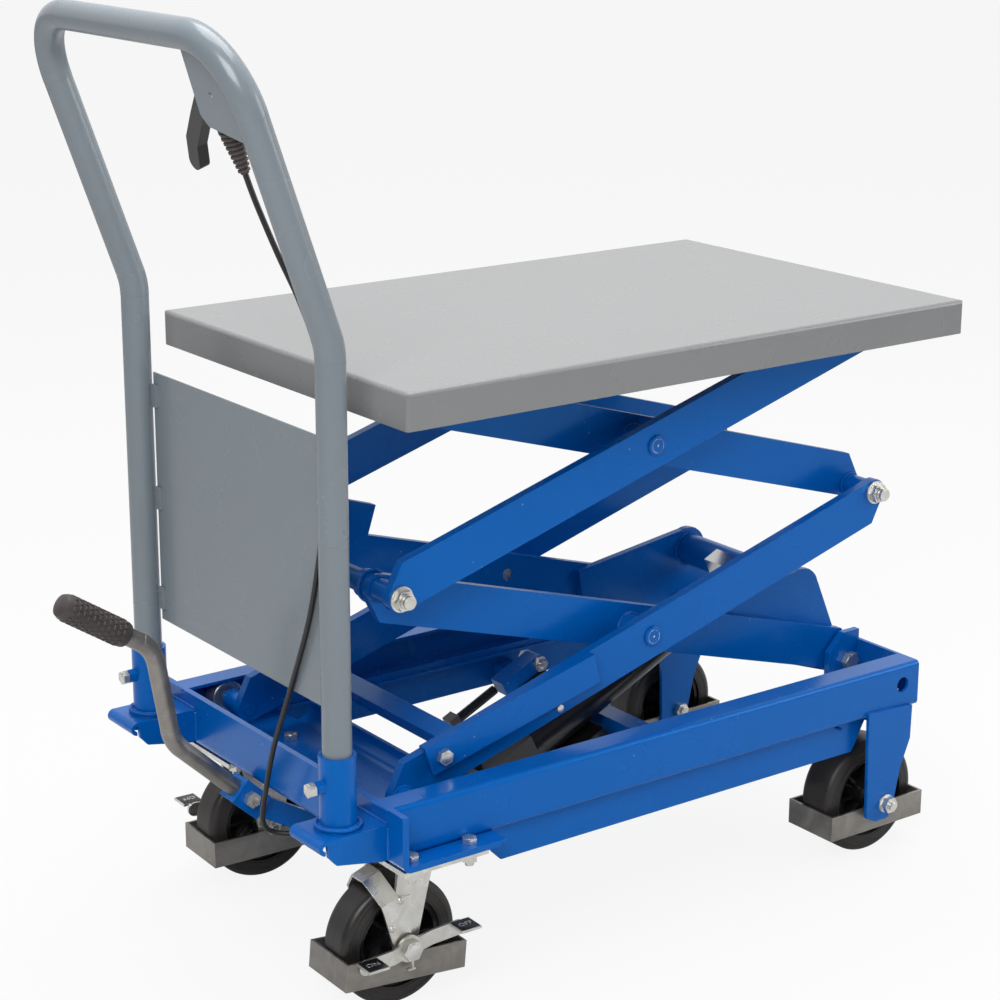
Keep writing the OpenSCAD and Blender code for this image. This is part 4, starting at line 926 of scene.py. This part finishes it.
def words(bm, text, size, place):
    """Raised letters, centred on the frame's origin and standing on its xy plane."""
    curve = bpy.data.curves.new(text, "FONT")
    curve.body = text
    curve.size = size
    curve.extrude = 0.25
    curve.align_x = "CENTER"
    curve.align_y = "CENTER"
    letters = bpy.data.objects.new(text, curve)
    mesh = bpy.data.meshes.new_from_object(letters)
    mesh.transform(place)
    bm.from_mesh(mesh)
    bpy.data.objects.remove(letters)
    bmesh.ops.remove_doubles(bm, verts=bm.verts, dist=1e-6)


PADS = (("ON", 11, -57.5, 2), ("OFF", 10, 66.5, 17))
for side, body in zip(SIDES, ("brake_near", "brake_far")):
    pads = bmesh.new()
    letters = bmesh.new()
    for text, size, x, top in PADS:
        face = swivel(side) @ Matrix.Translation((x, -56.2, top))
        block(pads, (24.6, 24.6, 0.9), face @ Matrix.Translation((0, 0, 0.1)), edge=0.3)
        words(letters, text, size, face @ Matrix.Translation((0, 0, 0.7)))
    make_piece(pads, body + "_pads", body, "dark_pads")
    make_piece(letters, body + "_words", body, "zinc_plate")

# %% [markdown]
# ## Floor and light
# The table stands on a plain pale floor. A large soft lamp from the upper left gives the enamel its
# long highlights, and a weaker one from the right opens the shadows. The sky is like a studio with a
# white wall behind the table and a dim room in front of it, so that the deck mirrors white while the
# sides keep their full colour. The camera itself sees plain white, with a little of the floor's own
# shading mixed in, which is where the table's shadow shows.

# %% White for the camera


def seen_directly(s):
    """1 for rays that come straight from the camera, and 0 for the rest."""
    return s.add("ShaderNodeLightPath").outputs["Is Camera Ray"]


def cleared(tree):
    tree.nodes.clear()
    return Sketch(tree)


# %% Floor
floor_material = bpy.data.materials.new("studio floor")
floor_material.use_nodes = True
s = cleared(floor_material.node_tree)
matt = s.add("ShaderNodeBsdfDiffuse")
matt.inputs["Color"].default_value = (0.62, 0.62, 0.62, 1)
white = s.add("ShaderNodeEmission", Strength=1.0)
mixed = s.add("ShaderNodeMixShader")
s.feed(mixed, "0", s.math("MULTIPLY", seen_directly(s), 0.88))
s.tree.links.new(matt.outputs[0], mixed.inputs[1])
s.tree.links.new(white.outputs[0], mixed.inputs[2])
s.tree.links.new(mixed.outputs[0], s.add("ShaderNodeOutputMaterial").inputs["Surface"])
bm = bmesh.new()
bmesh.ops.create_grid(bm, x_segments=1, y_segments=1, size=45)
floor_mesh = bpy.data.meshes.new("studio_floor")
bm.to_mesh(floor_mesh)
bm.free()
floor_mesh.materials.append(floor_material)
floor = bpy.data.objects.new("studio_floor", floor_mesh)
bpy.context.collection.objects.link(floor)

# %% Sky and lamps
BACKDROP = (0.55, 0.76, 0.35)
FRONT_LEVEL = 0.13
BACK_LEVEL = 0.95
sky = bpy.data.worlds.new("studio sky")
sky.use_nodes = True
s = cleared(sky.node_tree)
towards = s.add("ShaderNodeVectorMath", {"operation": "DOT_PRODUCT"})
s.tree.links.new(s.add("ShaderNodeTexCoord").outputs["Generated"], towards.inputs[0])
towards.inputs[1].default_value = BACKDROP
room = s.span(towards.outputs["Value"], -0.2, 0.75, FRONT_LEVEL, BACK_LEVEL)
level = s.math("MAXIMUM", seen_directly(s), room)
light = s.add("ShaderNodeBackground", Strength=level)
light.inputs["Color"].default_value = (1, 1, 1, 1)
s.tree.links.new(light.outputs[0], s.add("ShaderNodeOutputWorld").inputs["Surface"])
bpy.context.scene.world = sky


def lamp(name, place, power, size):
    """A square soft lamp that faces the table's middle."""
    data = bpy.data.lights.new(name, "AREA")
    data.energy = power
    data.size = size
    item = bpy.data.objects.new(name, data)
    item.location = place
    item.rotation_mode = "QUATERNION"
    item.rotation_quaternion = (Vector((0, 0, 0.45)) - Vector(place)).to_track_quat("-Z", "Y")
    bpy.context.collection.objects.link(item)


lamp("key_lamp", (-2.2, -2.0, 2.6), 88, 1.8)
lamp("fill_lamp", (2.6, -2.2, 1.6), 30, 1.6)
lamp("top_lamp", (0.2, 0.2, 3.2), 78, 2.2)
bpy.context.scene.view_settings.view_transform = "Standard"
